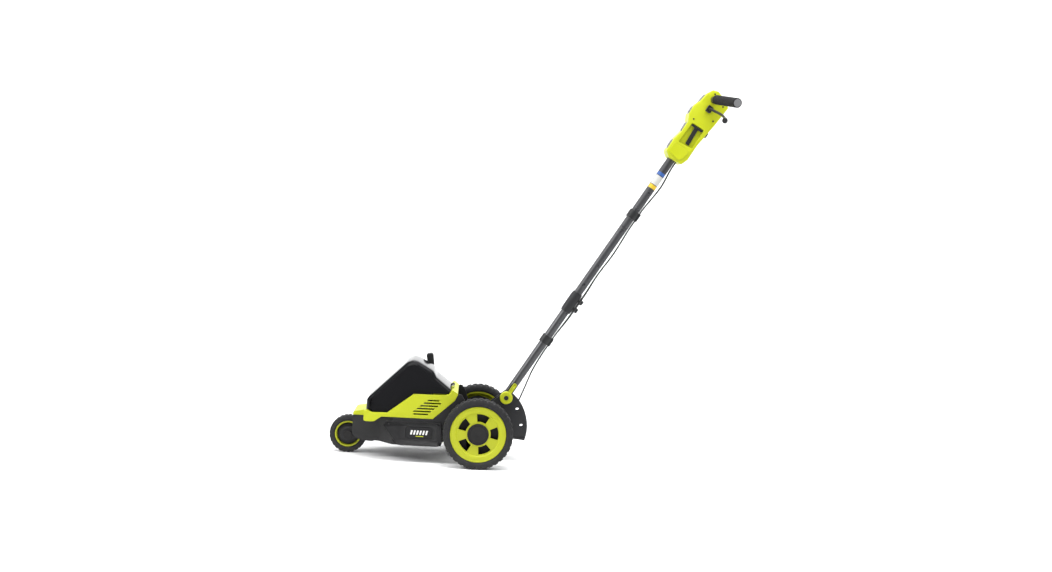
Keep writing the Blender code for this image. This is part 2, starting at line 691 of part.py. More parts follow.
# ---------------------------------------------------------------- motor and blade drive
def motor(axis, spin_axis):
    inner = BODY_HALF - BODY_WALL - GAP
    centre = (DRIVE_X, 0, DRIVE_Z)
    can = [(MOTOR_R, inner), (MOTOR_R, inner - MOTOR_LEN), (SHAFT_R + RUN, inner - MOTOR_LEN),
           (SHAFT_R + RUN, inner - MOTOR_LEN + 0.003), (MOTOR_R - 0.004, inner - MOTOR_LEN + 0.003),
           (MOTOR_R - 0.004, inner - 0.003), (0.012, inner - 0.003), (0.012, inner)]
    deliver(turned("can", can, centre, sides=24), "motor_can", "painted_steel", axis)

    end = CASE_Y + CASE_DEPTH - 0.0005
    rotor = [(0.0, end), (SHAFT_R, end), (SHAFT_R, inner - 0.008), (ROTOR_R, inner - 0.008),
             (ROTOR_R, inner - MOTOR_LEN + 0.006), (SHAFT_R, inner - MOTOR_LEN + 0.006),
             (SHAFT_R, inner - MOTOR_LEN - 0.003), (0.0, inner - MOTOR_LEN - 0.003)]
    deliver(turned("rotor", rotor, centre, sides=20, closed=False), "motor_rotor", "copper", spin_axis)
    pulley("drive_pulley", (DRIVE_X, DRIVE_Z), DRIVE_PULLEY_R, SHAFT_R + GAP, spin_axis)


def pulley(name, place, radius, bore, axis):
    """A flat belt pulley with two flanges."""
    low, high = BELT_Y - BELT_W / 2, BELT_Y + BELT_W / 2
    rim = radius + BELT_T * 0.7
    profile = [(rim, high + 0.0018), (rim, high + GAP), (radius - GAP, high + GAP), (radius - GAP, low - GAP),
               (rim, low - GAP), (rim, low - 0.0018), (bore, low - 0.0018), (bore, high + 0.0018)]
    deliver(turned(name, profile, (place[0], 0, place[1]), sides=20), name, "steel", axis)


def belt_outline(small, large, steps=8):
    """Outline round two circles, at the drive shaft and at the blade spindle."""
    start, end = Vector((DRIVE_X, DRIVE_Z)), Vector((BLADE_X, BLADE_Z))
    along = end - start
    tilt = math.atan2(along.y, along.x)
    lean = math.acos((small - large) / along.length)
    outline = []
    for step in range(steps + 1):
        angle = tilt + lean + (2 * math.pi - 2 * lean) * step / steps
        outline.append((start.x + small * math.cos(angle), start.y + small * math.sin(angle)))
    for step in range(steps + 1):
        angle = tilt - lean + 2 * lean * step / steps
        outline.append((end.x + large * math.cos(angle), end.y + large * math.sin(angle)))
    return outline


def blade_arm(axis):
    """Belt case that swings on the motor shaft and carries the spindle, guard and lever."""
    case_y = CASE_Y + CASE_DEPTH
    small = DRIVE_PULLEY_R + BELT_T + 0.0025
    large = BLADE_PULLEY_R + BELT_T + 0.0025
    outside = belt_outline(small + CASE_WALL, large + CASE_WALL)
    case = prism("case", outside, CASE_Y, case_y, edge=0.0008)
    cut(case, prism("room", belt_outline(small, large), CASE_Y - 0.01, case_y - CASE_WALL))
    bush_r = SHAFT_R + RUN + BUSH_WALL
    cut(case, rod("bore", (DRIVE_X, case_y, DRIVE_Z), bush_r + GAP, 0.02))
    cut(case, rod("bore", (BLADE_X, case_y, BLADE_Z), BEARING_R + GAP, 0.02))
    deliver(case, "belt_case", "black", axis)
    web_in, web_out = case_y - CASE_WALL, case_y
    bush = turned("bush", [(bush_r, web_out), (bush_r, web_in), (SHAFT_R + RUN, web_in), (SHAFT_R + RUN, web_out)],
                  (DRIVE_X, 0, DRIVE_Z), sides=24)
    deliver(bush, "arm_pivot_bush", "steel", axis)
    bearing = turned("bearing", [(BEARING_R, web_out + 0.0003), (BEARING_R, web_in - 0.0015),
                                 (SPINDLE_R + RUN, web_in - 0.0015), (SPINDLE_R + RUN, web_out + 0.0003)],
                     (BLADE_X, 0, BLADE_Z), sides=20)
    deliver(bearing, "spindle_bearing", "steel", axis)

    belt = prism("belt", belt_outline(DRIVE_PULLEY_R + BELT_T, BLADE_PULLEY_R + BELT_T, 10),
                 BELT_Y - BELT_W / 2, BELT_Y + BELT_W / 2)
    cut(belt, prism("inside", belt_outline(DRIVE_PULLEY_R, BLADE_PULLEY_R, 10), BELT_Y - 0.01, BELT_Y + 0.01))
    deliver(belt, "drive_belt", "rubber", axis)

    back, front = GUARD_Y, GUARD_Y + GUARD_DEPTH
    profile = [(GUARD_R, front), (GUARD_R, back), (BEARING_R + 0.001, back), (BEARING_R + 0.001, back + GUARD_T),
               (GUARD_R - GUARD_T, back + GUARD_T), (GUARD_R - GUARD_T, front - GUARD_T),
               (GUARD_R - GUARD_LIP, front - GUARD_T), (GUARD_R - GUARD_LIP, front)]
    guard = turned("guard", profile, (BLADE_X, 0, BLADE_Z), sides=40)
    cut(guard, box("open_half", (BLADE_X - 0.2, 0.0, -0.2), (BLADE_X + 0.2, 0.3, BLADE_Z - 0.0105)))
    cut(guard, *[rod("hole", (x, back, z), BOLT_R + GAP, 0.02, sides=12) for x, z in guard_bolts()])
    deliver(guard, "blade_guard", "black", axis)
    cut(case, *[rod("hole", (x, back, z), BOLT_R + GAP, 0.02, sides=12) for x, z in guard_bolts()])


def guard_bolts():
    """Places of the two bolts that hold the guard to the case's spindle end."""
    reach = BEARING_R + 0.0065
    return [(BLADE_X + reach * math.cos(a), BLADE_Z + reach * math.sin(a)) for a in (0.9, 2.4)]


def depth_lever(axis):
    """A flat lever bolted outside the belt case, with a moulded grip on its top."""
    low = CASE_Y + CASE_DEPTH + GAP
    high = low + LEVER_T
    start, end = Vector((DRIVE_X, DRIVE_Z)), Vector((BLADE_X, BLADE_Z))
    foot = start.lerp(end, 0.38)
    top = Vector(LEVER_TOP)
    along = (top - foot).normalized()
    across = Vector((-along.y, along.x)) * LEVER_HALF
    ends = [foot - along * LEVER_HALF - across, foot - along * LEVER_HALF + across, top + across, top - across]
    lever = prism("lever", rounded(ends, [LEVER_HALF * 0.95, LEVER_HALF * 0.95, 0.003, 0.003]), low, high)
    deliver(lever, "depth_lever", "painted_steel", axis)
    wide = across.normalized() * LEVER_GRIP_HALF
    bottom, cap = top - along * LEVER_GRIP_LEN, top + along * 0.008
    sides = [bottom - wide * 0.9, bottom + wide * 0.9, cap + wide * 1.05, cap - wide * 1.05]
    grip = prism("grip", rounded(sides, [0.003, 0.003, 0.007, 0.007]), low - 0.0105, high + 0.0105,
                 edge=0.003, edge_steps=2)
    seat = across * (1 + GAP / LEVER_HALF)
    deep = top - along * 0.1
    mouth = top + along * GAP
    cut(grip, prism("socket", [deep - seat, deep + seat, mouth + seat, mouth - seat], low - GAP, high + GAP))
    deliver(grip, "depth_lever_grip", "black", axis)


def detent_plate(axis):
    """Notched arc beside the lever on the body's far wall."""
    steps = 14
    start, end = math.radians(97), math.radians(140)
    outline = []
    for step in range(steps + 1):
        angle = start + (end - start) * step / steps
        radius = QUADRANT_R - (0.003 if step % 2 else 0.0)
        outline.append((DRIVE_X + radius * math.cos(angle), DRIVE_Z + radius * math.sin(angle)))
    for step in range(steps + 1):
        angle = end - (end - start) * step / steps
        radius = QUADRANT_R - 0.014
        outline.append((DRIVE_X + radius * math.cos(angle), DRIVE_Z + radius * math.sin(angle)))
    low = BODY_HALF + GAP
    deliver(prism("quadrant", outline, low, low + 0.0018), "depth_quadrant", "steel", axis)


def blade_set(axis):
    """Spindle with its pulley, the blade, its clamp washer and nut."""
    place = (BLADE_X, 0, BLADE_Z)
    seat = BLADE_Y - BLADE_T / 2
    tip = SPINDLE_R * 0.8
    inner = BELT_Y - 0.0048
    spindle = [(0.0, BLADE_Y + 0.013), (tip, BLADE_Y + 0.013), (tip, seat - GAP), (0.013, seat - GAP),
               (0.013, seat - 0.004), (SPINDLE_R, seat - 0.004), (SPINDLE_R, inner), (0.0, inner)]
    deliver(turned("spindle", spindle, place, sides=20, closed=False), "blade_spindle", "steel", axis)
    pulley("spindle_pulley", (BLADE_X, BLADE_Z), BLADE_PULLEY_R, SPINDLE_R + GAP, axis)
    long, high, clip = 0.0985, 0.024, 0.012
    corners = [(-long, -high * 0.7), (-long + clip, -high), (long, -high), (long, high * 0.7),
               (long - clip, high), (-long, high)]
    shrink = BLADE_R / Vector((long, high)).length
    blade = prism("blade", [(BLADE_X + x * shrink, BLADE_Z + z * shrink) for x, z in corners], seat, seat + BLADE_T)
    cut(blade, rod("bore", (BLADE_X, BLADE_Y, BLADE_Z), tip + GAP, 0.02))
    deliver(blade, "edger_blade", "steel", axis)
    low = seat + BLADE_T + GAP
    nut = rod("nut", (BLADE_X, low + 0.0025 + 0.0035, BLADE_Z), 0.0095, 0.007, sides=6)
    join(nut, rod("flange", (BLADE_X, low + 0.00125, BLADE_Z), 0.0165, 0.0026, sides=32))
    cut(nut, rod("bore", (BLADE_X, low, BLADE_Z), tip + GAP, 0.05))
    deliver(nut, "blade_nut", "steel", axis)


def controller(axis):
    low = FLOOR_Z + BODY_WALL + GAP
    module = box("module", (-0.235, -0.045, low), (-0.145, 0.025, low + 0.016), edge=0.002)
    for index in range(5):
        start = -0.229 + index * 0.018
        join(module, box("fin", (start, -0.038, low + 0.015), (start + 0.006, 0.018, low + 0.023)))
    deliver(module, "motor_controller", "board", axis)


# ---------------------------------------------------------------- handle bracket and lock
def handle_bracket(axis):
    """A U of sheet steel on the tub's rear wall, with the ring of lock holes in its side plates."""
    pivot = Vector((PIVOT_X, PIVOT_Z))
    base_x = BODY_REAR + GAP
    arc = []
    for step in range(13):
        angle = math.radians(-18.5 + (63.0 + 18.5) * step / 12)
        arc.append((pivot.x + BRACKET_R * math.cos(angle), pivot.y + BRACKET_R * math.sin(angle)))
    outline = [(base_x, 0.072), (0.0, 0.0725), (0.104, 0.0675)] + arc
    outline += [(PIVOT_X + 0.012, 0.176), (0.0, 0.142), (base_x, 0.142)]
    half = BRACKET_GAP / 2
    bracket = prism("bracket", outline, -half - BRACKET_T, half + BRACKET_T)
    cut(bracket, box("throat", (base_x + BRACKET_T, -half, 0.0), (0.3, half, 0.4)))
    for side in (-1, 1):
        lip_y = sorted((side * (half + BRACKET_T - 0.0005), side * (half + BRACKET_T + BRACKET_LIP)))
        lip = prism("lip", [(0.060, 0.0695), (0.104, 0.0675), (0.1405, 0.0675), (0.1405, 0.0705), (0.060, 0.0725)],
                    *lip_y)
        join(bracket, lip)
    wide = 2 * BRACKET_T + BRACKET_GAP + 0.02
    bores = [rod("bore", (0, 0, WHEEL_R), AXLE_R + GAP, wide), rod("bore", (pivot.x, 0, pivot.y), PIVOT_R + GAP, wide)]
    for index in range(LOCK_HOLES):
        angle = math.pi / 2 - HANDLE_LEAN - index * LOCK_STEP
        place = (pivot.x + LOCK_R * math.cos(angle), 0, pivot.y + LOCK_R * math.sin(angle))
        bores.append(rod("lock_hole", place, LOCK_HOLE_R, wide))
    bores += [rod("bolt_hole", (base_x, 0, z), BOLT_R + GAP, 0.02, "X", 16) for z in BRACKET_BOLT_Z]
    bores += [rod("cable_hole", (base_x, side * CABLE_Y, CABLE_IN_Z), CABLE_R + 0.001, 0.02, "X", 16)
              for side in (-1, 1)]
    cut(bracket, *bores)
    deliver(bracket, "handle_bracket", "painted_steel", axis)
    pin = rod("pin", (pivot.x, 0, pivot.y), PIVOT_R, BRACKET_GAP + 2 * BRACKET_T + 2 * GAP)
    for side in (-1, 1):
        head_y = side * (half + BRACKET_T + GAP + 0.002)
        join(pin, rod("head", (pivot.x, head_y, pivot.y), PIVOT_R + 0.004, 0.004))
    deliver(pin, "handle_pivot_bolt", "steel", axis)


def handle_tube(name, low, high, bores, axis):
    """A length of steel tube with cross bores."""
    profile = [(TUBE_R, high), (TUBE_R, low), (TUBE_R - TUBE_WALL, low), (TUBE_R - TUBE_WALL, high)]
    tube = turned(name, profile, (0, 0, 0), "Z", sides=24)
    cut(tube, *[rod("bore", (0, 0, s), radius, 0.06) for s, radius in bores])
    deliver(tube, name, "painted_steel", axis)


def handle_tubes(axis):
    half = COUPLER_LEN / 2 - 0.010
    handle_tube("lower_tube", -TUBE_TAIL, JOINT_S - GAP,
                [(0.0, PIVOT_R + RUN), (CARRIER_BOLT_S, BOLT_R + GAP)], axis)
    handle_tube("upper_tube", JOINT_S + GAP, TUBE_TOP_S, [], axis)
    coupler = turned("coupler", [(COUPLER_R - 0.0015, JOINT_S + COUPLER_LEN / 2), (COUPLER_R, JOINT_S + half),
                                 (COUPLER_R, JOINT_S - half), (COUPLER_R - 0.0015, JOINT_S - COUPLER_LEN / 2),
                                 (TUBE_R + GAP, JOINT_S - COUPLER_LEN / 2), (TUBE_R + GAP, JOINT_S + COUPLER_LEN / 2)],
                     (0, 0, 0), "Z", sides=24)
    deliver(coupler, "tube_coupler", "painted_steel", axis)
    for side, label in ((-1, "lower"), (1, "upper")):
        s = JOINT_S + side * 0.014
        knob = rod("stem", (COUPLER_R + 0.0035, 0, s), 0.004, 0.007, "X", 16)
        join(knob, rod("cap", (COUPLER_R + 0.0095, 0, s), 0.0085, 0.0070, "X", 10, tip=0.0070))
        deliver(knob, label + "_coupler_knob", "black", axis)
    for index, s in enumerate(CLIP_S):
        clip = rod("clip", (0, 0, s), TUBE_R + 0.0035, 0.026, "Z", 24)
        join(clip, box("saddle", (0.0, -0.0095, s - 0.013), (TUBE_R + 2 * CABLE_R + 0.0040, 0.0095, s + 0.013), 0.001))
        cut(clip, rod("bore", (0, 0, s), TUBE_R + GAP, 0.05, "Z", 24))
        cut(clip, *[rod("groove", (CABLE_X, side * CABLE_Y, s), CABLE_R + 0.001, 0.05, "Z", 12) for side in (-1, 1)])
        deliver(clip, "cable_clip_%d" % (index + 1), "black", axis)


def handle_lock(axis, lever_axis):
    """A strap on the tube holds the lock pin; the lime cam lever turns on the pin."""
    out = -(BRACKET_GAP / 2 + BRACKET_T + 0.0015)
    strap_t = 0.0025
    strap = prism("strap", rounded([(-0.009, LOCK_R - 0.012), (0.009, LOCK_R - 0.012), (0.009, CARRIER_BOLT_S + 0.010),
                                    (-0.009, CARRIER_BOLT_S + 0.010)], [0.0085, 0.0085, 0.003, 0.003]),
                  out - strap_t, out)
    block = box("block", (-0.009, out - 0.0005, CARRIER_BOLT_S - 0.009), (0.009, 0.0, CARRIER_BOLT_S + 0.009))
    cut(block, rod("tube", (0, 0, CARRIER_BOLT_S), TUBE_R + GAP, 0.1, "Z", 24))
    cut(block, box("beyond", (-0.02, -0.0085, 0), (0.02, 0.02, 1.0)))
    join(strap, block)
    cut(strap, rod("bore", (0, out, LOCK_R), LOCK_PIN_R + GAP, 0.02),
        rod("bore", (0, out, CARRIER_BOLT_S), BOLT_R + GAP, 0.04))
    deliver(strap, "lock_strap", "black", axis)

    face = out - strap_t - GAP
    pin = rod("pin", (0, (out + face - LOCK_BOSS_T) / 2, LOCK_R), LOCK_PIN_R, abs(out - face + LOCK_BOSS_T) - 0.003)
    deliver(pin, "lock_pin", "steel", axis)
    boss = turned("boss", [(LOCK_BOSS_R - 0.002, -face + LOCK_BOSS_T), (LOCK_BOSS_R, -face + LOCK_BOSS_T - 0.002),
                           (LOCK_BOSS_R, -face + 0.0032), (LOCK_PIN_R + RUN, -face + 0.0032),
                           (LOCK_PIN_R + RUN, -face + LOCK_BOSS_T)][::-1], (0, 0, LOCK_R), "Y", sides=24)
    for vertex in boss.data.vertices:
        vertex.co.y = -vertex.co.y
    boss.data.flip_normals()
    arm = prism("arm", rounded([(-0.0055, LOCK_R + 0.012), (0.0055, LOCK_R + 0.012), (0.0055, LOCK_R + LOCK_ARM),
                                (-0.0055, LOCK_R + LOCK_ARM)], [0, 0, 0.003, 0.003]),
                face - LOCK_BOSS_T + 0.003, face - 0.0032, edge=0.001)
    join(boss, arm)
    deliver(boss, "lock_lever", "lime", lever_axis)


# ---------------------------------------------------------------- control housing and handlebar
PAD_SEATS = (((-0.0315, 0.984), (-0.0325, 1.020)), ((-0.0262, 1.048), (-0.0275, 1.084)),
             ((-0.0385, 1.104), (-0.0400, 1.132)), ((-0.0325, 1.152), (-0.0285, 1.182)))


def housing_outline():
    """Control housing from the side, from its lower front corner up the scalloped front."""
    front = [(-0.0295, 0.976)]
    for start, end in PAD_SEATS:
        front += [start, end]
    return front + [(-0.0190, 1.2005), (-0.0030, 1.2060), (0.0300, 1.1960), (0.0487, 1.1830),
                    (0.0450, 1.1200), (0.0365, 1.0400), (0.0375, 0.9900), (0.0300, 0.9680), (-0.0140, HOUSING_S)]


def control_shell(side, axis):
    """One half of the control housing, with a sunk panel in its side."""
    outline = rounded(housing_outline(), 0.005, 2)
    shell = prism("shell", outline, -HOUSING_HALF, HOUSING_HALF, edge=0.004, edge_steps=1)
    low, high = sorted((side * GAP / 2, -side * 0.1))
    cut(shell, box("other_half", (-0.2, low, 0.8), (0.2, high, 1.4)))
    wall = HOUSING_HALF - HOUSING_WALL
    hollow = prism("hollow", inset(housing_outline(), HOUSING_WALL), *sorted((-side * 0.01, side * wall)))
    cut(shell, hollow)
    sunk = rounded([(-0.0165, 1.018), (0.0300, 1.024), (0.0265, 1.088), (-0.0140, 1.086)], 0.003, 3)
    floor = HOUSING_HALF - RECESS_DEPTH
    backing = prism("backing", inset(sunk, -HOUSING_WALL * 0.8),
                    *sorted((side * (floor - HOUSING_WALL), side * (wall + 0.0005))))
    join(shell, backing)
    cut(shell, prism("recess", sunk, *sorted((side * floor, side * 0.05))))
    cut(shell, rod("tube_room", (0, 0, HOUSING_S), TUBE_R + GAP, 0.05, "Z", 24))
    cut(shell, rod("cable_room", (CABLE_X, side * CABLE_Y, HOUSING_S), CABLE_R + 0.0006, 0.044, "Z", 12))
    cut(shell, rod("bail_room", (BAIL_X, 0, BAIL_S), BAIL_R + RUN + 0.001, 0.2, sides=16))
    cut(shell, rod("button_room", (0.045, 0, BUTTON_S), BUTTON_R + RUN, 0.03, "X", 24))
    cut(shell, rod("bar_room", (0, 0, BAR_S), BAR_R + GAP, 0.2, sides=20))
    label = "near" if side < 0 else "far"
    deliver(shell, label + "_control_shell", "lime", axis)


def handlebar_path(inset_end=0.0, start=0.0):
    """Centre line of the bar from the middle (or from a start) to its far end."""
    reach = BAR_HALF - inset_end
    slope = BAR_SWEEP / (BAR_HALF - BAR_STRAIGHT)
    points = []
    if start < BAR_STRAIGHT:
        points.append((0.0, start, BAR_S))
        points.append((0.0, BAR_STRAIGHT - 0.008, BAR_S))
        points.append((slope * 0.002, BAR_STRAIGHT, BAR_S))
        points.append((slope * 0.008, BAR_STRAIGHT + 0.008, BAR_S))
    else:
        points.append((slope * (start - BAR_STRAIGHT), start, BAR_S))
    points.append((slope * (reach - BAR_STRAIGHT), reach, BAR_S))
    return points


def mirrored(points):
    return [(x, -y, z) for x, y, z in reversed(points)]


def handlebar(axis):
    half = handlebar_path(inset_end=0.006)
    bar = wire("bar", mirrored(half) + half[1:], BAR_R, 4)
    deliver(bar, "handlebar", "painted_steel", axis)
    for side, label in ((-1, "near"), (1, "far")):
        line = [(x, side * y, z) for x, y, z in handlebar_path(start=BAR_STRAIGHT + 0.010)]
        grip = wire("grip", line, GRIP_R, 6)
        bore = handlebar_path(inset_end=0.0055, start=BAR_STRAIGHT + 0.0095)
        slope = BAR_SWEEP / (BAR_HALF - BAR_STRAIGHT)
        bore[0] = (bore[0][0] - slope * 0.02, bore[0][1] - 0.02, bore[0][2])
        cut(grip, wire("bore", [(x, side * y, z) for x, y, z in bore], BAR_R + GAP, 4))
        deliver(grip, label + "_grip", "foam", axis)
    clamp = box("clamp", (-0.016, -0.0175, 1.100), (0.0175, 0.0175, BAR_S + 0.0155), edge=0.002)
    cut(clamp, rod("bar_bore", (0, 0, BAR_S), BAR_R + GAP, 0.06),
        rod("shaft_bore", (BAIL_X, 0, BAIL_S), BAIL_R + RUN, 0.06, sides=16),
        rod("tube_bore", (0, 0, (1.05 + TUBE_TOP_S) / 2 + GAP), TUBE_R + GAP, TUBE_TOP_S - 1.05, "Z", 24))
    deliver(clamp, "bar_clamp", "grey", axis)


def bail(axis, bail_axis):
    """Squeeze lever: one bent rod through the housing with a ball end on each side."""
    half = [(BAIL_X, 0.0, BAIL_S), (BAIL_X, 0.054, BAIL_S), (BAIL_X + 0.0035, 0.0605, BAIL_S - 0.0003),
            (0.0190, 0.0760, 1.1450), (0.0300, 0.1050, 1.1420), (0.0385, 0.1400, 1.1350), (0.0410, 0.1680, 1.1265),
            (0.0400, 0.1930, 1.1190)]
    curve = smooth_path(half[1:], 2)
    path = [half[0]] + curve
    bar = wire("bail", mirrored(path) + path[1:], BAIL_R, 2)
    deliver(bar, "bail_lever", "black", bail_axis)
    end, before = Vector(curve[-1]), Vector(curve[-2])
    along = (end - before).normalized()
    for side, label in ((-1, "near"), (1, "far")):
        place = Vector((end.x, side * end.y, end.z))
        lean = Vector((along.x, side * along.y, along.z))
        knob = wire("knob", [place - lean * 0.010, place + lean * 0.005], BAIL_KNOB_R, 3)
        join(bar, knob)
        block = box("block", (BAIL_X - 0.0085, 0, BAIL_S - 0.010), (BAIL_X + 0.0085, 0.0135, BAIL_S + 0.010), 0.0015)
        block.data.transform(Matrix.Translation((0, HOUSING_HALF + GAP, 0)))
        if side < 0:
            block.data.transform(Matrix.Scale(-1, 4, (0, 1, 0)))
            block.data.flip_normals()
        cut(block, rod("bore", (BAIL_X, 0, BAIL_S), BAIL_R + RUN, 0.2, sides=16))
        deliver(block, label + "_bail_block", "black", axis)


def start_button(axis, button_axis):
    button = rod("button", (BUTTON_FACE - 0.0065, 0, BUTTON_S), BUTTON_R, 0.013, "X", 20)
    join(button, rod("flange", (BUTTON_FACE - 0.0132, 0, BUTTON_S), BUTTON_R + 0.0020, 0.002, "X", 20))
    deliver(button, "start_button", "gloss", button_axis)
    front = TUBE_R + 0.0023
    module = box("switch", (front, -0.010, BUTTON_S - 0.016), (0.0292, 0.010, BUTTON_S + 0.013), edge=0.001)
    deliver(module, "switch_module", "grey", axis)


def cables(axis):
    """Power lead and bail lead: down the tube under the clips, then between the bracket's plates."""
    lean = Matrix.Rotation(HANDLE_LEAN, 3, "Y")
    entry = lean.transposed() @ (Vector((BODY_REAR, 0, CABLE_IN_Z)) - Vector((PIVOT_X, 0, PIVOT_Z)))
    for side, name in ((-1, "power_cable"), (1, "bail_cable")):
        y = side * CABLE_Y
        route = [(CABLE_X, y, HOUSING_S + 0.020), (CABLE_X, y, 0.940), (CABLE_X + 0.006, y, 0.880),
                 (CABLE_X, y, 0.800), (CABLE_X, y, 0.767), (CABLE_X, y, 0.720), (CABLE_X + 0.004, y, 0.640),
                 (CABLE_X + 0.001, y, 0.560), (COUPLER_R + CABLE_R + 0.001, y * 2.2, 0.490),
                 (COUPLER_R + CABLE_R + 0.001, y * 2.2, 0.410), (CABLE_X, y, 0.345), (CABLE_X, y, 0.314),
                 (CABLE_X, y, 0.270), (0.0200, y, 0.2150), (0.0325, y, 0.1500), (0.0410, y, 0.1000),
                 (0.0450, y, 0.0500), (0.0390, y, 0.0080)]
        low = [lean.transposed() @ (Vector((x, y, z)) - Vector((PIVOT_X, 0, PIVOT_Z)))
               for x, z in ((0.0330, 0.0800), (0.0050, 0.0860), (-0.0120, CABLE_IN_Z - 0.002))]
        route += [tuple(p) for p in low]
        last = entry + Vector((0, y, 0))
        route += [tuple(last), tuple(last + lean.transposed() @ Vector((-0.010, 0, 0)))]
        deliver(wire(name, smooth_path(route, 2), CABLE_R, 2), name, "rubber", axis)


# ---------------------------------------------------------------- assembly
def build():
    global PARTS, CUTTERS
    clear_scene()
    PARTS = new_collection("lawn_edger")
    CUTTERS = new_collection("cutters")

    front_reach = FRONT_X - FRONT_R
    lean_s, lean_x = math.sin(HANDLE_LEAN), math.cos(HANDLE_LEAN)
    rear_reach = PIVOT_X + BAR_S * lean_s + (BAR_SWEEP + GRIP_R) * lean_x
    datum = make_axis("machine_datum", None, (-(front_reach + rear_reach) / 2, 0, 0), shifted=False)
    near_axis = make_axis("near_wheel_axis", datum, (0, -TRACK / 2, WHEEL_R))
    far_axis = make_axis("far_wheel_axis", datum, (0, TRACK / 2, WHEEL_R))
    front_axis = make_axis("front_wheel_axis", datum, (FRONT_X, FRONT_Y, FRONT_R))
    arm_axis = make_axis("depth_axis", datum, (DRIVE_X, CASE_Y, DRIVE_Z))
    drive_axis = make_axis("drive_axis", datum, (DRIVE_X, 0, DRIVE_Z))
    spin_axis = make_axis("blade_axis", datum, (BLADE_X, BLADE_Y, BLADE_Z))
    cover_axis = make_axis("cover_axis", datum, (COVER_HINGE[0], 0, COVER_HINGE[1]))
    handle_axis = make_axis("handle_axis", datum, (PIVOT_X, 0, PIVOT_Z), shifted=False, lean=HANDLE_LEAN)
    lock_axis = make_axis("lock_axis", handle_axis, (0, 0, LOCK_R))
    bail_axis = make_axis("bail_axis", handle_axis, (BAIL_X, 0, BAIL_S))
    button_axis = make_axis("button_axis", handle_axis, (BUTTON_FACE, 0, BUTTON_S))

    rear_wheel(-1, near_axis)
    rear_wheel(1, far_axis)
    rear_axle(datum)
    front_wheel(front_axis)
    fork_low, fork_high, fork_back = front_fork(datum)
    lower_housing(datum, fork_low, fork_high, fork_back)
    deck_band(datum)
    battery_deck(datum)
    battery(datum)
    battery_cover(cover_axis, datum)
    motor(datum, drive_axis)
    controller(datum)
    detent_plate(datum)
    blade_arm(arm_axis)
    depth_lever(arm_axis)
    blade_set(spin_axis)
    handle_bracket(datum)
    handle_tubes(handle_axis)
    handle_lock(handle_axis, lock_axis)
    for side in (-1, 1):
        control_shell(side, handle_axis)
    handlebar(handle_axis)
    bail(handle_axis, bail_axis)
    start_button(handle_axis, button_axis)
    cables(handle_axis)


build()
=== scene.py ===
# %% [markdown]
# # A cordless lawn edger
# This lesson builds the look of a walk-behind lawn edger: a black and lime deck on three wheels,
# a battery under a gloss lid, a guarded blade on one side, and a long handle with a lime control
# housing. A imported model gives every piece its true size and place, so the lesson starts by
# loading it, and each new piece is laid on the measures of that frame.

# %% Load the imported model
import json
import math

import bmesh
import bpy
from mathutils import Matrix, Vector


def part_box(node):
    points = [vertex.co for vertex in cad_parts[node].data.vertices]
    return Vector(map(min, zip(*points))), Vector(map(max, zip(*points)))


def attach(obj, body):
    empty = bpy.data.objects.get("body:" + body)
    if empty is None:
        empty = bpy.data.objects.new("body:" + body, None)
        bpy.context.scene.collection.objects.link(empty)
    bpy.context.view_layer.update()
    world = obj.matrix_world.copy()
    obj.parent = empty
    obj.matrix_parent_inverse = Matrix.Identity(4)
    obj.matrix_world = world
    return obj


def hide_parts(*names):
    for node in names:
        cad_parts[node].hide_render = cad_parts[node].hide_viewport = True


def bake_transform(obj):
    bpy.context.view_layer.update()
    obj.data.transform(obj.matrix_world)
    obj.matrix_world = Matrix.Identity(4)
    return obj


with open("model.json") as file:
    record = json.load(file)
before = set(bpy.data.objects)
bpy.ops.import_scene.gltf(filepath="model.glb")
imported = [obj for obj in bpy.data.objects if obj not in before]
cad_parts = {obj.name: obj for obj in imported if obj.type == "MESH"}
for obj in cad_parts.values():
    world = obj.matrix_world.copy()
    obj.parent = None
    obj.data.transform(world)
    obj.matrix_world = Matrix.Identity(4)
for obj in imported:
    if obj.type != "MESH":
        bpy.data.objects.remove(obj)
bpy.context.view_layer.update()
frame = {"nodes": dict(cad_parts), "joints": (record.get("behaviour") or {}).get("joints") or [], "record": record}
record = frame["record"]
BODY_OF = {node: body for body, nodes in record["behaviour"]["bodies"].items() for node in nodes}
SLOT_OF = {entry["node"]: entry["material_slot"] for entry in record["subparts"]}
JOINTS = {joint["name"]: joint for joint in frame["joints"]}
SIDES = ((-1, "near"), (1, "far"))

# %% [markdown]
# The machine has two natural rulers. Deck pieces are measured from the rear axle, and handle
# pieces from the fold pivot, along the leaning tube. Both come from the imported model, so a piece
# lands in the right spot without any fitting.

# %% Rulers of the deck and the handle
wheel_low, wheel_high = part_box("near_tyre")
AXLE = (wheel_low + wheel_high) / 2
WHEEL_R = (wheel_high.z - wheel_low.z) / 2
PIVOT = Vector(JOINTS["handle_fold"]["pos_m"])
BUTTON_AXIS = Vector(JOINTS["start_button_press"]["axis"])
LEAN = math.atan2(BUTTON_AXIS.z, -BUTTON_AXIS.x)
HANDLE = Matrix.Translation(PIVOT) @ Matrix.Rotation(LEAN, 4, "Y")


def deck(x, y, z):
    """A point measured from the rear axle, at its height above the ground."""
    return Vector((x + AXLE.x, y, z))


def stem(x, y, s):
    """A point measured from the fold pivot: s metres up the tube, x towards the operator."""
    return HANDLE @ Vector((x, y, s))


print("wheel radius %.4f m, handle lean %.2f degrees" % (WHEEL_R, math.degrees(LEAN)))

# %% [markdown]
# Moulded and pressed parts never have razor edges: each edge has a small radius that catches the
# light. The helpers below make a mesh from bmesh data, round its sharp edges with a Bevel modifier,
# and keep the result as a plain mesh.

# %% Workshop helpers: make, round and register a piece
SHARP = math.radians(32)


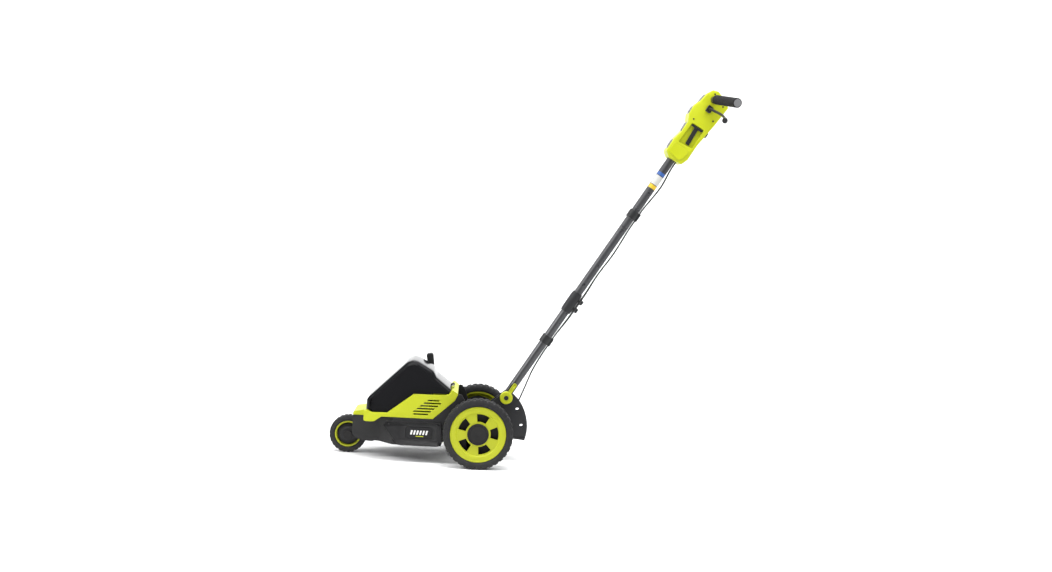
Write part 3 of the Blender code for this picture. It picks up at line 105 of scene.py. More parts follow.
def new_piece(name, work, crease=SHARP):
    """Turn bmesh data into an object whose faces are smooth up to the crease angle."""
    bmesh.ops.recalc_face_normals(work, faces=work.faces)
    mesh = bpy.data.meshes.new(name)
    work.to_mesh(mesh)
    work.free()
    mesh.shade_smooth()
    mesh.set_sharp_from_angle(angle=crease)
    piece = bpy.data.objects.new(name, mesh)
    bpy.context.scene.collection.objects.link(piece)
    return piece


def keep_modifiers(piece):
    """Replace the mesh by what its modifiers make of it."""
    bpy.context.view_layer.update()
    graph = bpy.context.evaluated_depsgraph_get()
    mesh = bpy.data.meshes.new_from_object(piece.evaluated_get(graph))
    piece.modifiers.clear()
    piece.data = mesh
    return piece


def even_normals(piece):
    """Let large flat faces decide the shading along smooth edges, so panels stay flat."""
    weighted = piece.modifiers.new("flat panels", "WEIGHTED_NORMAL")
    weighted.keep_sharp = True
    weighted.weight = 50
    return keep_modifiers(piece)


def soften(piece, width, segments=2):
    bevel = piece.modifiers.new("edge radius", "BEVEL")
    bevel.width = width
    bevel.segments = segments
    bevel.limit_method = "ANGLE"
    bevel.angle_limit = SHARP
    bevel.use_clamp_overlap = False
    bevel.harden_normals = True
    return keep_modifiers(piece)


def register(piece, finish, body, slot, *nodes):
    """Give a piece its material and the body it moves with, and hide the nodes it stands for."""
    piece.data.materials.clear()
    piece.data.materials.append(finish)
    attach(piece, body)
    if nodes:
        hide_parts(*nodes)
    return piece


print("edge helpers ready")

# %% [markdown]
# Most small parts are either flat shapes with a thickness or shapes turned on a lathe. One helper
# extrudes an outline and one spins a profile. Both can work in deck or in handle measures, because
# they only place points through a function that is handed in.

# %% Workshop helpers: outlines, slabs and turned shapes


def arc_corner(before, corner, after, radius, steps):
    """Points that replace one corner of an outline by an arc."""
    a, c, b = Vector(before), Vector(corner), Vector(after)
    u, v = (a - c).normalized(), (b - c).normalized()
    half = math.acos(max(-1.0, min(1.0, u.dot(v)))) / 2
    if radius <= 0 or half > math.radians(88):
        return [corner]
    back = min(radius / math.tan(half), (a - c).length * 0.48, (b - c).length * 0.48)
    start, end = c + u * back, c + v * back
    points = []
    for step in range(steps + 1):
        t = step / steps
        points.append(tuple(start * (1 - t) ** 2 + c * 2 * t * (1 - t) + end * t * t))
    return points


def rounded(outline, radius, steps=4):
    count = len(outline)
    points = []
    for i, corner in enumerate(outline):
        points += arc_corner(outline[i - 1], corner, outline[(i + 1) % count], radius, steps)
    return points


def slab_work(outline, low, high, place):
    """An outline of (x, z) points given a thickness from y = low to y = high."""
    work = bmesh.new()
    rings = [[work.verts.new(place(x, y, z)) for x, z in outline] for y in (low, high)]
    count = len(outline)
    for i in range(count):
        j = (i + 1) % count
        work.faces.new((rings[0][i], rings[0][j], rings[1][j], rings[1][i]))
    work.faces.new(rings[0])
    work.faces.new(reversed(rings[1]))
    return work


def slab(name, outline, low, high, place, edge=0.0006, segments=2):
    piece = new_piece(name, slab_work(outline, low, high, place))
    return soften(piece, edge, segments) if edge else piece


def lathe_work(profile, centre, axis, steps):
    """Spin (radius, along) points about an axis; a radius of zero closes the end."""
    work = bmesh.new()
    along = Vector(axis).normalized()
    side = along.orthogonal().normalized()
    other = along.cross(side)
    rings = []
    for radius, shift in profile:
        middle = Vector(centre) + along * shift
        if radius < 1e-7:
            rings.append([work.verts.new(middle)])
            continue
        rings.append([work.verts.new(middle + (side * math.cos(a) + other * math.sin(a)) * radius)
                      for a in (math.tau * k / steps for k in range(steps))])
    for first, second in zip(rings, rings[1:]):
        for k in range(steps):
            j = (k + 1) % steps
            corners = [first[k % len(first)], first[j % len(first)],
                       second[j % len(second)], second[k % len(second)]]
            unique = list(dict.fromkeys(corners))
            if len(unique) > 2:
                work.faces.new(unique)
    return work


def lathe(name, profile, centre, axis, steps=48, crease=SHARP):
    return new_piece(name, lathe_work(profile, centre, axis, steps), crease)


print("shape helpers ready")

# %% [markdown]
# The camera stands about three and a half metres away on the near side, a little above the handle's
# middle, and is tilted by a few degrees. The long distance keeps the wheels round and the deck
# nearly flat-on, which is how such machines are shown.

# %% Camera
CAMERA_PLACE = Vector((-0.1579, -3.5425, 0.7586))
camera_data = bpy.data.cameras.new("camera")
camera_data.lens = 40.76
camera_data.sensor_width = 36.0
camera_data.clip_end = 60.0
camera = bpy.data.objects.new("camera", camera_data)
bpy.context.scene.collection.objects.link(camera)
view_right = Vector((0.99764, -0.04018, 0.05570))
view_up = Vector((-0.05290, 0.06780, 0.99630))
view_back = view_right.cross(view_up).normalized()
view_up = view_back.cross(view_right).normalized()
turn = Matrix((view_right, view_up, view_back)).transposed().to_4x4()
camera.matrix_world = Matrix.Translation(CAMERA_PLACE) @ turn
bpy.context.scene.camera = camera
bpy.context.scene.view_settings.view_transform = "Standard"
print("camera %.2f m away" % (camera.location - PIVOT).length)

# %% [markdown]
# A pale sweep of paper is the plainest stage: a floor that curves up behind the machine, so there
# is no horizon line. Large area lights give soft shadows, and narrow strips overhead, ahead of and
# behind the machine draw thin bright lines along the lid's chamfers and the round tubes.

# %% Floor sweep and studio lights
FLOOR_HALF = 9.0
SWEEP_FRONT, SWEEP_BACK, SWEEP_TOP = -6.0, 2.6, 7.0
SWEEP_R, SWEEP_STEPS = 1.6, 12
sweep_line = [(SWEEP_FRONT, 0.0), (SWEEP_BACK, 0.0)]
for step in range(1, SWEEP_STEPS + 1):
    bend = math.radians(90 * step / SWEEP_STEPS)
    sweep_line.append((SWEEP_BACK + SWEEP_R * math.sin(bend), SWEEP_R - SWEEP_R * math.cos(bend)))
sweep_line.append((SWEEP_BACK + SWEEP_R, SWEEP_TOP))
sweep_work = bmesh.new()
edges = [[sweep_work.verts.new((x, y, z)) for y, z in sweep_line] for x in (-FLOOR_HALF, FLOOR_HALF)]
for k in range(len(sweep_line) - 1):
    sweep_work.faces.new((edges[0][k], edges[1][k], edges[1][k + 1], edges[0][k + 1]))
paper_sweep = new_piece("paper_sweep", sweep_work)
paper = bpy.data.materials.new("pale_paper")
paper.use_nodes = True
paper_shader = paper.node_tree.nodes["Principled BSDF"]
paper_shader.inputs["Base Color"].default_value = (0.93, 0.93, 0.93, 1)
paper_shader.inputs["Roughness"].default_value = 0.9
paper_shader.inputs["Specular IOR Level"].default_value = 0.1
paper_sweep.data.materials.append(paper)

# each light: its name, where it is, what it points at, width and height in metres, power in watts
LIGHTS = (
    ("overhead_softbox", (0.1, -0.2, 3.2), (0.0, -0.1, 0.2), 3.4, 3.2, 56.0),
    ("edge_strip", (-0.1, -0.75, 2.7), (0.0, 0.0, 0.3), 3.0, 0.26, 44.0),
    ("near_fill", (-1.2, -3.4, 3.0), (0.0, 0.0, 0.4), 3.0, 1.6, 38.0),
    ("operator_side_strip", (2.6, -0.95, 2.6), (-0.2, -0.1, 0.2), 0.4, 1.8, 52.0),
    ("front_side_strip", (-2.6, -0.7, 2.0), (-0.37, -0.1, 0.2), 0.4, 1.6, 52.0),
    ("backdrop_wash", (0.0, 1.6, 3.4), (0.0, 4.2, 1.2), 6.0, 1.4, 135.0),
)
for name, place, target, wide, tall, power in LIGHTS:
    lamp = bpy.data.lights.new(name, "AREA")
    lamp.shape = "RECTANGLE"
    lamp.size = wide
    lamp.size_y = tall
    lamp.energy = power
    holder = bpy.data.objects.new(name, lamp)
    holder.location = place
    holder.rotation_euler = (Vector(target) - Vector(place)).to_track_quat("-Z", "Y").to_euler()
    bpy.context.scene.collection.objects.link(holder)
studio = bpy.data.worlds.new("studio")
studio.use_nodes = True
studio.node_tree.nodes["Background"].inputs["Color"].default_value = (0.95, 0.97, 1.0, 1)
studio.node_tree.nodes["Background"].inputs["Strength"].default_value = 0.38
bpy.context.scene.world = studio
print(len(LIGHTS), "area lights over a", FLOOR_HALF * 2, "m sweep")

# %% [markdown]
# Every finish on this machine shares a few small effects: a fine moulding grain, slow changes of
# tone across a panel, rub marks that change the gloss, and a little dust low down. Each effect is
# a node group with named sockets, built once and placed in each material with its own numbers.

# %% Shared shader groups


def new_group(name, inputs, outputs):
    group = bpy.data.node_groups.new(name, "ShaderNodeTree")
    for label, kind, value in inputs:
        socket = group.interface.new_socket(name=label, in_out="INPUT", socket_type=kind)
        if value is not None:
            socket.default_value = value
    for label, kind in outputs:
        group.interface.new_socket(name=label, in_out="OUTPUT", socket_type=kind)
    return group, group.nodes.new("NodeGroupInput"), group.nodes.new("NodeGroupOutput")


def add_node(tree, kind, **values):
    node = tree.nodes.new(kind)
    for key, value in values.items():
        if key.startswith("in_"):
            node.inputs[int(key[3:])].default_value = value
        else:
            setattr(node, key, value)
    return node


VECTOR, FLOAT, COLOUR = "NodeSocketVector", "NodeSocketFloat", "NodeSocketColor"

grain_group, source, sink = new_group(
    "moulding grain", [("Vector", VECTOR, None), ("Scale", FLOAT, 900.0), ("Roundness", FLOAT, 0.5)],
    [("Height", FLOAT)])
cells = add_node(grain_group, "ShaderNodeTexVoronoi", feature="SMOOTH_F1")
cells.inputs["Smoothness"].default_value = 0.6
cloud = add_node(grain_group, "ShaderNodeTexNoise")
cloud.inputs["Detail"].default_value = 3.0
blend_height = add_node(grain_group, "ShaderNodeMix", data_type="FLOAT")
grain_group.links.new(source.outputs["Vector"], cells.inputs["Vector"])
grain_group.links.new(source.outputs["Vector"], cloud.inputs["Vector"])
grain_group.links.new(source.outputs["Scale"], cells.inputs["Scale"])
grain_group.links.new(source.outputs["Scale"], cloud.inputs["Scale"])
grain_group.links.new(source.outputs["Roundness"], blend_height.inputs[0])
grain_group.links.new(cloud.outputs[0], blend_height.inputs[2])
grain_group.links.new(cells.outputs["Distance"], blend_height.inputs[3])
grain_group.links.new(blend_height.outputs[0], sink.inputs["Height"])

tone_group, source, sink = new_group(
    "tone drift", [("Vector", VECTOR, None), ("Base", COLOUR, (0.5, 0.5, 0.5, 1)),
                   ("Deep", COLOUR, (0.3, 0.3, 0.3, 1)), ("Scale", FLOAT, 6.0), ("Amount", FLOAT, 0.3)],
    [("Color", COLOUR)])
cloud = add_node(tone_group, "ShaderNodeTexNoise")
cloud.inputs["Detail"].default_value = 4.0
strength = add_node(tone_group, "ShaderNodeMath", operation="MULTIPLY")
mixer = add_node(tone_group, "ShaderNodeMix", data_type="RGBA")
tone_group.links.new(source.outputs["Vector"], cloud.inputs["Vector"])
tone_group.links.new(source.outputs["Scale"], cloud.inputs["Scale"])
tone_group.links.new(cloud.outputs[0], strength.inputs[0])
tone_group.links.new(source.outputs["Amount"], strength.inputs[1])
tone_group.links.new(strength.outputs[0], mixer.inputs[0])
tone_group.links.new(source.outputs["Base"], mixer.inputs[6])
tone_group.links.new(source.outputs["Deep"], mixer.inputs[7])
tone_group.links.new(mixer.outputs[2], sink.inputs["Color"])

rub_group, source, sink = new_group(
    "rub marks", [("Vector", VECTOR, None), ("Scale", FLOAT, 30.0), ("Smooth", FLOAT, 0.3),
                  ("Dull", FLOAT, 0.5)], [("Roughness", FLOAT)])
cloud = add_node(rub_group, "ShaderNodeTexNoise")
cloud.inputs["Detail"].default_value = 6.0
cloud.inputs["Roughness"].default_value = 0.65
span = add_node(rub_group, "ShaderNodeMapRange")
span.inputs["From Min"].default_value = 0.35
span.inputs["From Max"].default_value = 0.68
rub_group.links.new(source.outputs["Vector"], cloud.inputs["Vector"])
rub_group.links.new(source.outputs["Scale"], cloud.inputs["Scale"])
rub_group.links.new(cloud.outputs[0], span.inputs["Value"])
rub_group.links.new(source.outputs["Smooth"], span.inputs["To Min"])
rub_group.links.new(source.outputs["Dull"], span.inputs["To Max"])
rub_group.links.new(span.outputs["Result"], sink.inputs["Roughness"])

dust_group, source, sink = new_group(
    "settled dust", [("Vector", VECTOR, None), ("Color", COLOUR, (0.1, 0.1, 0.1, 1)),
                     ("Dust", COLOUR, (0.34, 0.32, 0.28, 1)), ("Top", FLOAT, 0.12), ("Amount", FLOAT, 0.1)],
    [("Color", COLOUR)])
parts = add_node(dust_group, "ShaderNodeSeparateXYZ")
fade = add_node(dust_group, "ShaderNodeMapRange")
fade.inputs["To Min"].default_value = 1.0
fade.inputs["To Max"].default_value = 0.0
speck = add_node(dust_group, "ShaderNodeTexNoise")
speck.inputs["Scale"].default_value = 55.0
speck.inputs["Detail"].default_value = 7.0
share = add_node(dust_group, "ShaderNodeMath", operation="MULTIPLY")
total = add_node(dust_group, "ShaderNodeMath", operation="MULTIPLY")
mixer = add_node(dust_group, "ShaderNodeMix", data_type="RGBA")
dust_group.links.new(source.outputs["Vector"], parts.inputs[0])
dust_group.links.new(source.outputs["Vector"], speck.inputs["Vector"])
dust_group.links.new(parts.outputs["Z"], fade.inputs["Value"])
dust_group.links.new(source.outputs["Top"], fade.inputs["From Max"])
dust_group.links.new(fade.outputs["Result"], share.inputs[0])
dust_group.links.new(speck.outputs[0], share.inputs[1])
dust_group.links.new(share.outputs[0], total.inputs[0])
dust_group.links.new(source.outputs["Amount"], total.inputs[1])
dust_group.links.new(total.outputs[0], mixer.inputs[0])
dust_group.links.new(source.outputs["Color"], mixer.inputs[6])
dust_group.links.new(source.outputs["Dust"], mixer.inputs[7])
dust_group.links.new(mixer.outputs[2], sink.inputs["Color"])
print("groups:", ", ".join(group.name for group in bpy.data.node_groups))

# %% [markdown]
# One recipe makes every solid finish: a base colour that drifts a little, dust, gloss that varies
# with rub marks, and a bump from the moulding grain. What sets lime plastic, black plastic,
# powder coat, rubber and foam apart is only their numbers, as it is in a real paint shop.

# %% Finishes


def make_finish(name, base, deep, gloss, grain, metal=0.0, coat=0.0, drift=0.35, dust=0.0, stretch=None,
                specular=0.5, coat_gloss=0.08):
    """gloss is (smooth, dull, mark scale); grain is (scale, roundness, depth in metres)."""
    finish = bpy.data.materials.new(name)
    finish.use_nodes = True
    tree = finish.node_tree
    shader = tree.nodes["Principled BSDF"]
    shader.inputs["Metallic"].default_value = metal
    shader.inputs["Coat Weight"].default_value = coat
    shader.inputs["Coat Roughness"].default_value = coat_gloss
    shader.inputs["Specular IOR Level"].default_value = specular
    where = add_node(tree, "ShaderNodeTexCoord")
    spot = where.outputs["Object"]
    if stretch:
        squeeze = add_node(tree, "ShaderNodeMapping")
        squeeze.inputs["Scale"].default_value = stretch
        tree.links.new(spot, squeeze.inputs["Vector"])
        fine_spot = squeeze.outputs["Vector"]
    else:
        fine_spot = spot

    def place(group, **values):
        node = add_node(tree, "ShaderNodeGroup", node_tree=group)
        for key, value in values.items():
            node.inputs[key.replace("_", " ")].default_value = value
        return node

    tone = place(tone_group, Base=(*base, 1), Deep=(*deep, 1), Scale=9.0, Amount=drift)
    tree.links.new(spot, tone.inputs["Vector"])
    colour = tone.outputs["Color"]
    if dust:
        film = place(dust_group, Amount=dust, Top=0.16)
        tree.links.new(spot, film.inputs["Vector"])
        tree.links.new(colour, film.inputs["Color"])
        colour = film.outputs["Color"]
    tree.links.new(colour, shader.inputs["Base Color"])
    rub = place(rub_group, Smooth=gloss[0], Dull=gloss[1], Scale=gloss[2])
    tree.links.new(fine_spot, rub.inputs["Vector"])
    tree.links.new(rub.outputs["Roughness"], shader.inputs["Roughness"])
    texture = place(grain_group, Scale=grain[0], Roundness=grain[1])
    tree.links.new(fine_spot, texture.inputs["Vector"])
    bump = add_node(tree, "ShaderNodeBump")
    bump.inputs["Strength"].default_value = 1.0
    bump.inputs["Distance"].default_value = grain[2]
    tree.links.new(texture.outputs["Height"], bump.inputs["Height"])
    tree.links.new(bump.outputs["Normal"], shader.inputs["Normal"])
    return finish


LIME = make_finish("lime_moulding", (0.445, 0.485, 0.011), (0.36, 0.40, 0.007),
                   (0.34, 0.46, 40), (1500, 0.5, 0.00006), drift=0.30, specular=0.28)
RIM_LIME = make_finish("wheel_lime", (0.420, 0.450, 0.015), (0.34, 0.37, 0.010),
                       (0.40, 0.54, 45), (1300, 0.5, 0.00008), drift=0.30, dust=0.05, specular=0.25)
BLACK = make_finish("grained_black", (0.015, 0.015, 0.016), (0.010, 0.010, 0.011),
                    (0.42, 0.58, 35), (1100, 0.7, 0.00012), drift=0.5, dust=0.03, specular=0.25)
SATIN_BLACK = make_finish("satin_black", (0.018, 0.018, 0.019), (0.010, 0.010, 0.011),
                          (0.26, 0.40, 50), (1600, 0.5, 0.00005), drift=0.4, specular=0.3)
GLOSS = make_finish("gloss_lid", (0.008, 0.008, 0.009), (0.005, 0.005, 0.006),
                    (0.08, 0.15, 28), (260, 0.0, 0.00004), drift=0.3, specular=0.2)
TYRE = make_finish("tyre_rubber", (0.018, 0.018, 0.019), (0.011, 0.011, 0.012),
                   (0.62, 0.82, 60), (800, 0.6, 0.00015), drift=0.6, dust=0.06, specular=0.25)
FOAM = make_finish("grip_foam", (0.012, 0.011, 0.012), (0.006, 0.006, 0.007),
                   (0.82, 0.95, 80), (1400, 0.95, 0.00035), drift=0.5, specular=0.25)
POWDER = make_finish("powder_coat", (0.060, 0.060, 0.064), (0.040, 0.040, 0.043),
                     (0.26, 0.38, 60), (1900, 0.6, 0.00005), metal=0.55, drift=0.4, coat=0.1,
                     coat_gloss=0.2)
PLATE = make_finish("coated_plate", (0.024, 0.024, 0.026), (0.015, 0.015, 0.017),
                    (0.34, 0.46, 45), (1500, 0.6, 0.00006), metal=0.2, drift=0.4, dust=0.02, specular=0.25)
STEEL = make_finish("machined_steel", (0.56, 0.57, 0.58), (0.42, 0.43, 0.44),
                    (0.20, 0.36, 90), (1400, 0.1, 0.00004), metal=1.0, drift=0.5, stretch=(1.0, 14.0, 1.0))
BLADE_STEEL = make_finish("blade_steel", (0.36, 0.36, 0.37), (0.22, 0.22, 0.23),
                          (0.22, 0.40, 50), (900, 0.1, 0.00005), metal=1.0, drift=0.6,
                          stretch=(1.0, 1.0, 9.0))
GREY = make_finish("grey_plastic", (0.085, 0.085, 0.090), (0.060, 0.060, 0.064),
                   (0.40, 0.52, 40), (1200, 0.6, 0.0001))
PAD_GREY = make_finish("smoked_pad", (0.16, 0.16, 0.165), (0.10, 0.10, 0.105),
                       (0.14, 0.24, 40), (900, 0.2, 0.00004), coat=0.4)
CABLE = make_finish("cable_sheath", (0.016, 0.016, 0.017), (0.010, 0.010, 0.011),
                    (0.40, 0.55, 60), (1500, 0.5, 0.00005))
COPPER = make_finish("copper_winding", (0.60, 0.30, 0.16), (0.35, 0.16, 0.08),
                     (0.28, 0.42, 70), (1200, 0.1, 0.0001), metal=1.0, stretch=(1.0, 20.0, 1.0))
POTTING = make_finish("potted_board", (0.02, 0.12, 0.055), (0.012, 0.07, 0.03),
                      (0.25, 0.4, 60), (500, 0.6, 0.0002))
HUB = make_finish("hub_black", (0.015, 0.014, 0.014), (0.010, 0.010, 0.010),
                  (0.46, 0.60, 30), (900, 0.7, 0.00012), drift=0.5, specular=0.22)
print(len(bpy.data.materials), "materials")

# %% [markdown]
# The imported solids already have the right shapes, but their edges are sharp and their round
# walls are made of facets. Each one is copied, its flat facets are merged, its edges get the small
# radius of a moulding tool or a press, and the copy stands in for the node.

# %% Finish the moulded and pressed parts


def finished(node, finish, edge):
    """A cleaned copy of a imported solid, with its edges rounded by edge metres."""
    work = bmesh.new()
    work.from_mesh(frame["nodes"][node].data)
    bmesh.ops.remove_doubles(work, verts=work.verts, dist=4e-6)
    bmesh.ops.dissolve_limit(work, angle_limit=math.radians(0.6), verts=work.verts, edges=work.edges)
    piece = new_piece(node + "_finished", work)
    if edge:
        soften(piece, edge)
    return register(piece, finish, BODY_OF[node], SLOT_OF[node], node)


MOULDINGS = (
    ("lower_housing", BLACK, 0.0012), ("deck_band", LIME, 0.0009), ("battery_deck", BLACK, 0.0006),
    ("battery_pack", GREY, 0.0025), ("front_fork", BLACK, 0.0008), ("front_axle", HUB, 0.0006),
    ("near_rim", RIM_LIME, 0.0008), ("far_rim", RIM_LIME, 0.0008), ("front_rim", RIM_LIME, 0.0006),
    ("near_control_shell", LIME, 0.0010), ("far_control_shell", LIME, 0.0010), ("lock_lever", LIME, 0.0008),
    ("belt_case", BLACK, 0.0008), ("blade_guard", BLACK, 0.0006), ("depth_lever", PLATE, 0.0004),
    ("depth_lever_grip", SATIN_BLACK, 0.0008), ("handle_bracket", PLATE, 0.0004),
    ("lower_tube", POWDER, 0.0), ("upper_tube", POWDER, 0.0), ("tube_coupler", PLATE, 0.0005),
    ("lower_coupler_knob", SATIN_BLACK, 0.0004), ("upper_coupler_knob", SATIN_BLACK, 0.0004),
    ("cable_clip_1", SATIN_BLACK, 0.0005), ("cable_clip_2", SATIN_BLACK, 0.0005),
    ("lock_strap", PLATE, 0.0004),
    ("handlebar", POWDER, 0.0), ("near_grip", FOAM, 0.0010), ("far_grip", FOAM, 0.0010),
    ("near_bail_block", SATIN_BLACK, 0.0005), ("far_bail_block", SATIN_BLACK, 0.0005),
    ("bail_lever", SATIN_BLACK, 0.0), ("bar_clamp", GREY, 0.0005), ("start_button", SATIN_BLACK, 0.0008),
    ("edger_blade", BLADE_STEEL, 0.0002), ("blade_nut", STEEL, 0.0005), ("blade_spindle", STEEL, 0.0003),
    ("motor_can", PLATE, 0.0006), ("depth_quadrant", STEEL, 0.0002), ("handle_pivot_bolt", STEEL, 0.0006),
    ("lock_pin", STEEL, 0.0004), ("rear_axle", STEEL, 0.0004), ("cover_hinge_pin", STEEL, 0.0),
    ("spindle_pulley", STEEL, 0.0002), ("drive_pulley", STEEL, 0.0002),
)
finished_pieces = {node: finished(node, finish, edge) for node, finish, edge in MOULDINGS}
INNER = (("motor_rotor", COPPER), ("motor_controller", POTTING), ("near_wheel_bush", GREY),
         ("far_wheel_bush", GREY), ("arm_pivot_bush", STEEL), ("spindle_bearing", STEEL),
         ("drive_belt", TYRE), ("switch_module", GREY))
for node, finish in INNER:
    frame["nodes"][node].material_slots[0].material = finish
print(len(finished_pieces), "finished copies,", len(INNER), "inner parts repainted")

# %% [markdown]
# The battery lid is the piece that gives the machine its outline: a hump with a flat side panel
# framed by a wide chamfer. It is lofted from rings of the same profile, each ring a little smaller
# and further out, then given a wall with Solidify, so it is a true hollow lid when it swings open.

# %% Battery lid
COVER_HALF = 0.090
COVER_FOOT = 0.1423
COVER_DRAFT = 1.75
LID_WALL = 0.0026
lid_foot = [(-0.0911, 0.2020), (-0.1925, 0.2009), (-0.2664, 0.1436), (-0.3093, 0.1426)]
lid_top = [(-0.3287, 0.1484), (-0.3290, 0.1745), (-0.3238, 0.1835), (-0.2180, 0.2872), (-0.2005, 0.2942),
           (-0.1850, 0.2912), (-0.1390, 0.2658), (-0.1290, 0.2478), (-0.0840, 0.2138)]
lid_radii = [0, 0.008, 0.012, 0.022, 0.020, 0.024, 0.018, 0.012, 0]
lid_line = [lid_top[0]]
for k in range(1, len(lid_top) - 1):
    lid_line += arc_corner(lid_top[k - 1], lid_top[k], lid_top[k + 1], lid_radii[k], 5)
lid_line.append(lid_top[-1])


def drawn_in(line, distance):
    """Move each point of an open line inwards, square to the line."""
    moved = []
    for k, point in enumerate(line):
        before, after = Vector(line[max(k - 1, 0)]), Vector(line[min(k + 1, len(line) - 1)])
        along = (after - before).normalized()
        moved.append((point[0] + along.y * distance, point[1] - along.x * distance))
    return moved


def lid_half(z):
    return COVER_HALF * (1 - COVER_DRAFT * (z - COVER_FOOT))


# each ring of the side: how far it is drawn in from the lid's outline, and how far in from the side
LID_RINGS = ((0.0, 0.0100), (0.0024, 0.0050), (0.0068, 0.0010),
             (0.0110, 0.0), (0.0118, 0.0010), (0.0132, 0.0015))
work = bmesh.new()
sides = {}
for side in (-1, 1):
    rings = []
    for inset, depth in LID_RINGS:
        line = drawn_in(lid_line, inset)
        rings.append([work.verts.new(deck(x, side * (lid_half(z) - depth), z)) for x, z in line])
    foot = [work.verts.new(deck(x, side * (lid_half(z) - LID_RINGS[-1][1]), z)) for x, z in lid_foot]
    for first, second in zip(rings, rings[1:]):
        for k in range(len(first) - 1):
            work.faces.new((first[k], first[k + 1], second[k + 1], second[k]))
    work.faces.new(rings[-1] + foot)
    work.faces.new([ring[-1] for ring in rings] + [foot[0]])
    work.faces.new([ring[0] for ring in rings] + [foot[-1]])
    sides[side] = rings[0]
CROWN_LIFT = 0.0010
CROWN_FROM = 0.2
crown = []
for share in (-0.6, 0.0, 0.6):
    lift = CROWN_LIFT * (1 - share * share)
    crown.append([work.verts.new(deck(x, share * lid_half(z), z + lift * (CROWN_FROM < z)))
                  for x, z in lid_line])
roof = [sides[-1], *crown, sides[1]]
for first, second in zip(roof, roof[1:]):
    for k in range(len(first) - 1):
        work.faces.new((first[k], first[k + 1], second[k + 1], second[k]))
battery_lid = new_piece("battery_lid", work, math.radians(24))
wall = battery_lid.modifiers.new("wall", "SOLIDIFY")
wall.thickness = LID_WALL
wall.offset = -1.0
wall.use_even_offset = True
keep_modifiers(battery_lid)
battery_lid.data.set_sharp_from_angle(angle=math.radians(24))
even_normals(battery_lid)
register(battery_lid, GLOSS, "cover", "gloss_black", "battery_cover")
KNUCKLE = (-0.0805, 0.2165)
KNUCKLE_Y = 0.0235
KNUCKLE_HALF = 0.0072
for side, label in SIDES:
    low, high = side * KNUCKLE_Y - KNUCKLE_HALF, side * KNUCKLE_Y + KNUCKLE_HALF
    eye_line = [(0.0026, 0.0), (0.0041, 0.0), (0.0045, 0.0004), (0.0045, 0.0140), (0.0041, 0.0144),
                (0.0026, 0.0144), (0.0026, 0.0)]
    eye = lathe(label + "_lid_knuckle", eye_line, deck(KNUCKLE[0], low, KNUCKLE[1]), (0, 1, 0), 28)
    register(eye, BLACK, "cover", "gloss_black")
    arm_line = [(KNUCKLE[0] - 0.0036, KNUCKLE[1] + 0.0024), (-0.0905, 0.2170), (-0.0925, 0.2110),
                (KNUCKLE[0] - 0.0036, KNUCKLE[1] - 0.0024)]
    arm = slab(label + "_lid_arm", arm_line, low + 0.0006, high - 0.0006, deck, 0.0005)
    register(arm, BLACK, "cover", "gloss_black")
print("lid has", len(battery_lid.data.polygons), "faces and a", LID_WALL * 1000, "mm wall")

# %% [markdown]
# Under the lid's rim, the housing carries a sunk name plate. Here it is a blank gloss plate with a
# plain row of slanted bars, so the piece reads as a badge without naming anyone. The screws that
# close the housing sit in the corners, as on any two-part moulding.

# %% Badge plate and its plain bars
BADGE_X = (-0.2105, -0.1325)
BADGE_Z = (0.0715, 0.1062)
BADGE_SEAT = -0.1060
PRINT_Y = (BADGE_SEAT - 0.0018, BADGE_SEAT - 0.0014)
EDGE_GAP = 0.0006
plate_x = (BADGE_X[0] + EDGE_GAP, BADGE_X[1] - EDGE_GAP)
plate_z = (BADGE_Z[0] + EDGE_GAP, BADGE_Z[1] - EDGE_GAP)
badge_line = rounded([(plate_x[0], plate_z[0]), (plate_x[1], plate_z[0]), (plate_x[1], plate_z[1]),
                      (plate_x[0], plate_z[1])], 0.004, 4)
badge_plate = slab("badge_plate", badge_line, BADGE_SEAT - 0.0015, BADGE_SEAT - 0.0001, deck, 0.0004)
register(badge_plate, GLOSS, "chassis", "gloss_black")
WHITE = make_finish("white_print", (0.78, 0.78, 0.76), (0.70, 0.70, 0.68),
                    (0.35, 0.5, 50), (1500, 0.4, 0.00002))
bars_work = bmesh.new()
BAR_COUNT, BAR_PITCH, BAR_WIDE, BAR_TALL, BAR_SLANT = 6, 0.0088, 0.0050, 0.0125, 0.0030
BAR_START, BAR_FOOT = BADGE_X[0] + 0.0135, 0.0835
for index in range(BAR_COUNT):
    x = BAR_START + index * BAR_PITCH
    low, high = BAR_FOOT, BAR_FOOT + BAR_TALL
    corners = [(x, low), (x + BAR_WIDE, low), (x + BAR_WIDE + BAR_SLANT, high), (x + BAR_SLANT, high)]
    faces = [[bars_work.verts.new(deck(cx, y, cz)) for cx, cz in corners] for y in PRINT_Y]
    bars_work.faces.new(faces[0])
    bars_work.faces.new(reversed(faces[1]))
    for k in range(4):
        j = (k + 1) % 4
        bars_work.faces.new((faces[0][k], faces[0][j], faces[1][j], faces[1][k]))
register(new_piece("badge_bars", bars_work), WHITE, "chassis", "gloss_black")
under_line = [(BADGE_X[0] + 0.030, 0.0775), (BADGE_X[0] + 0.052, 0.0775),
              (BADGE_X[0] + 0.0527, 0.0800), (BADGE_X[0] + 0.0307, 0.0800)]
badge_dash = slab("badge_dash", under_line, PRINT_Y[0], PRINT_Y[1], deck, 0.0)
register(badge_dash, LIME, "chassis", "lime_plastic")
print("badge", round((BADGE_X[1] - BADGE_X[0]) * 1000), "mm wide")

# %% [markdown]
# Screw heads tell the eye how big a machine is. Each one here is a turned pan head with a real
# six-lobe recess. One helper adds heads to a shared mesh, so a whole set is one piece.

# %% Screw heads
HEAD_STEPS = 24


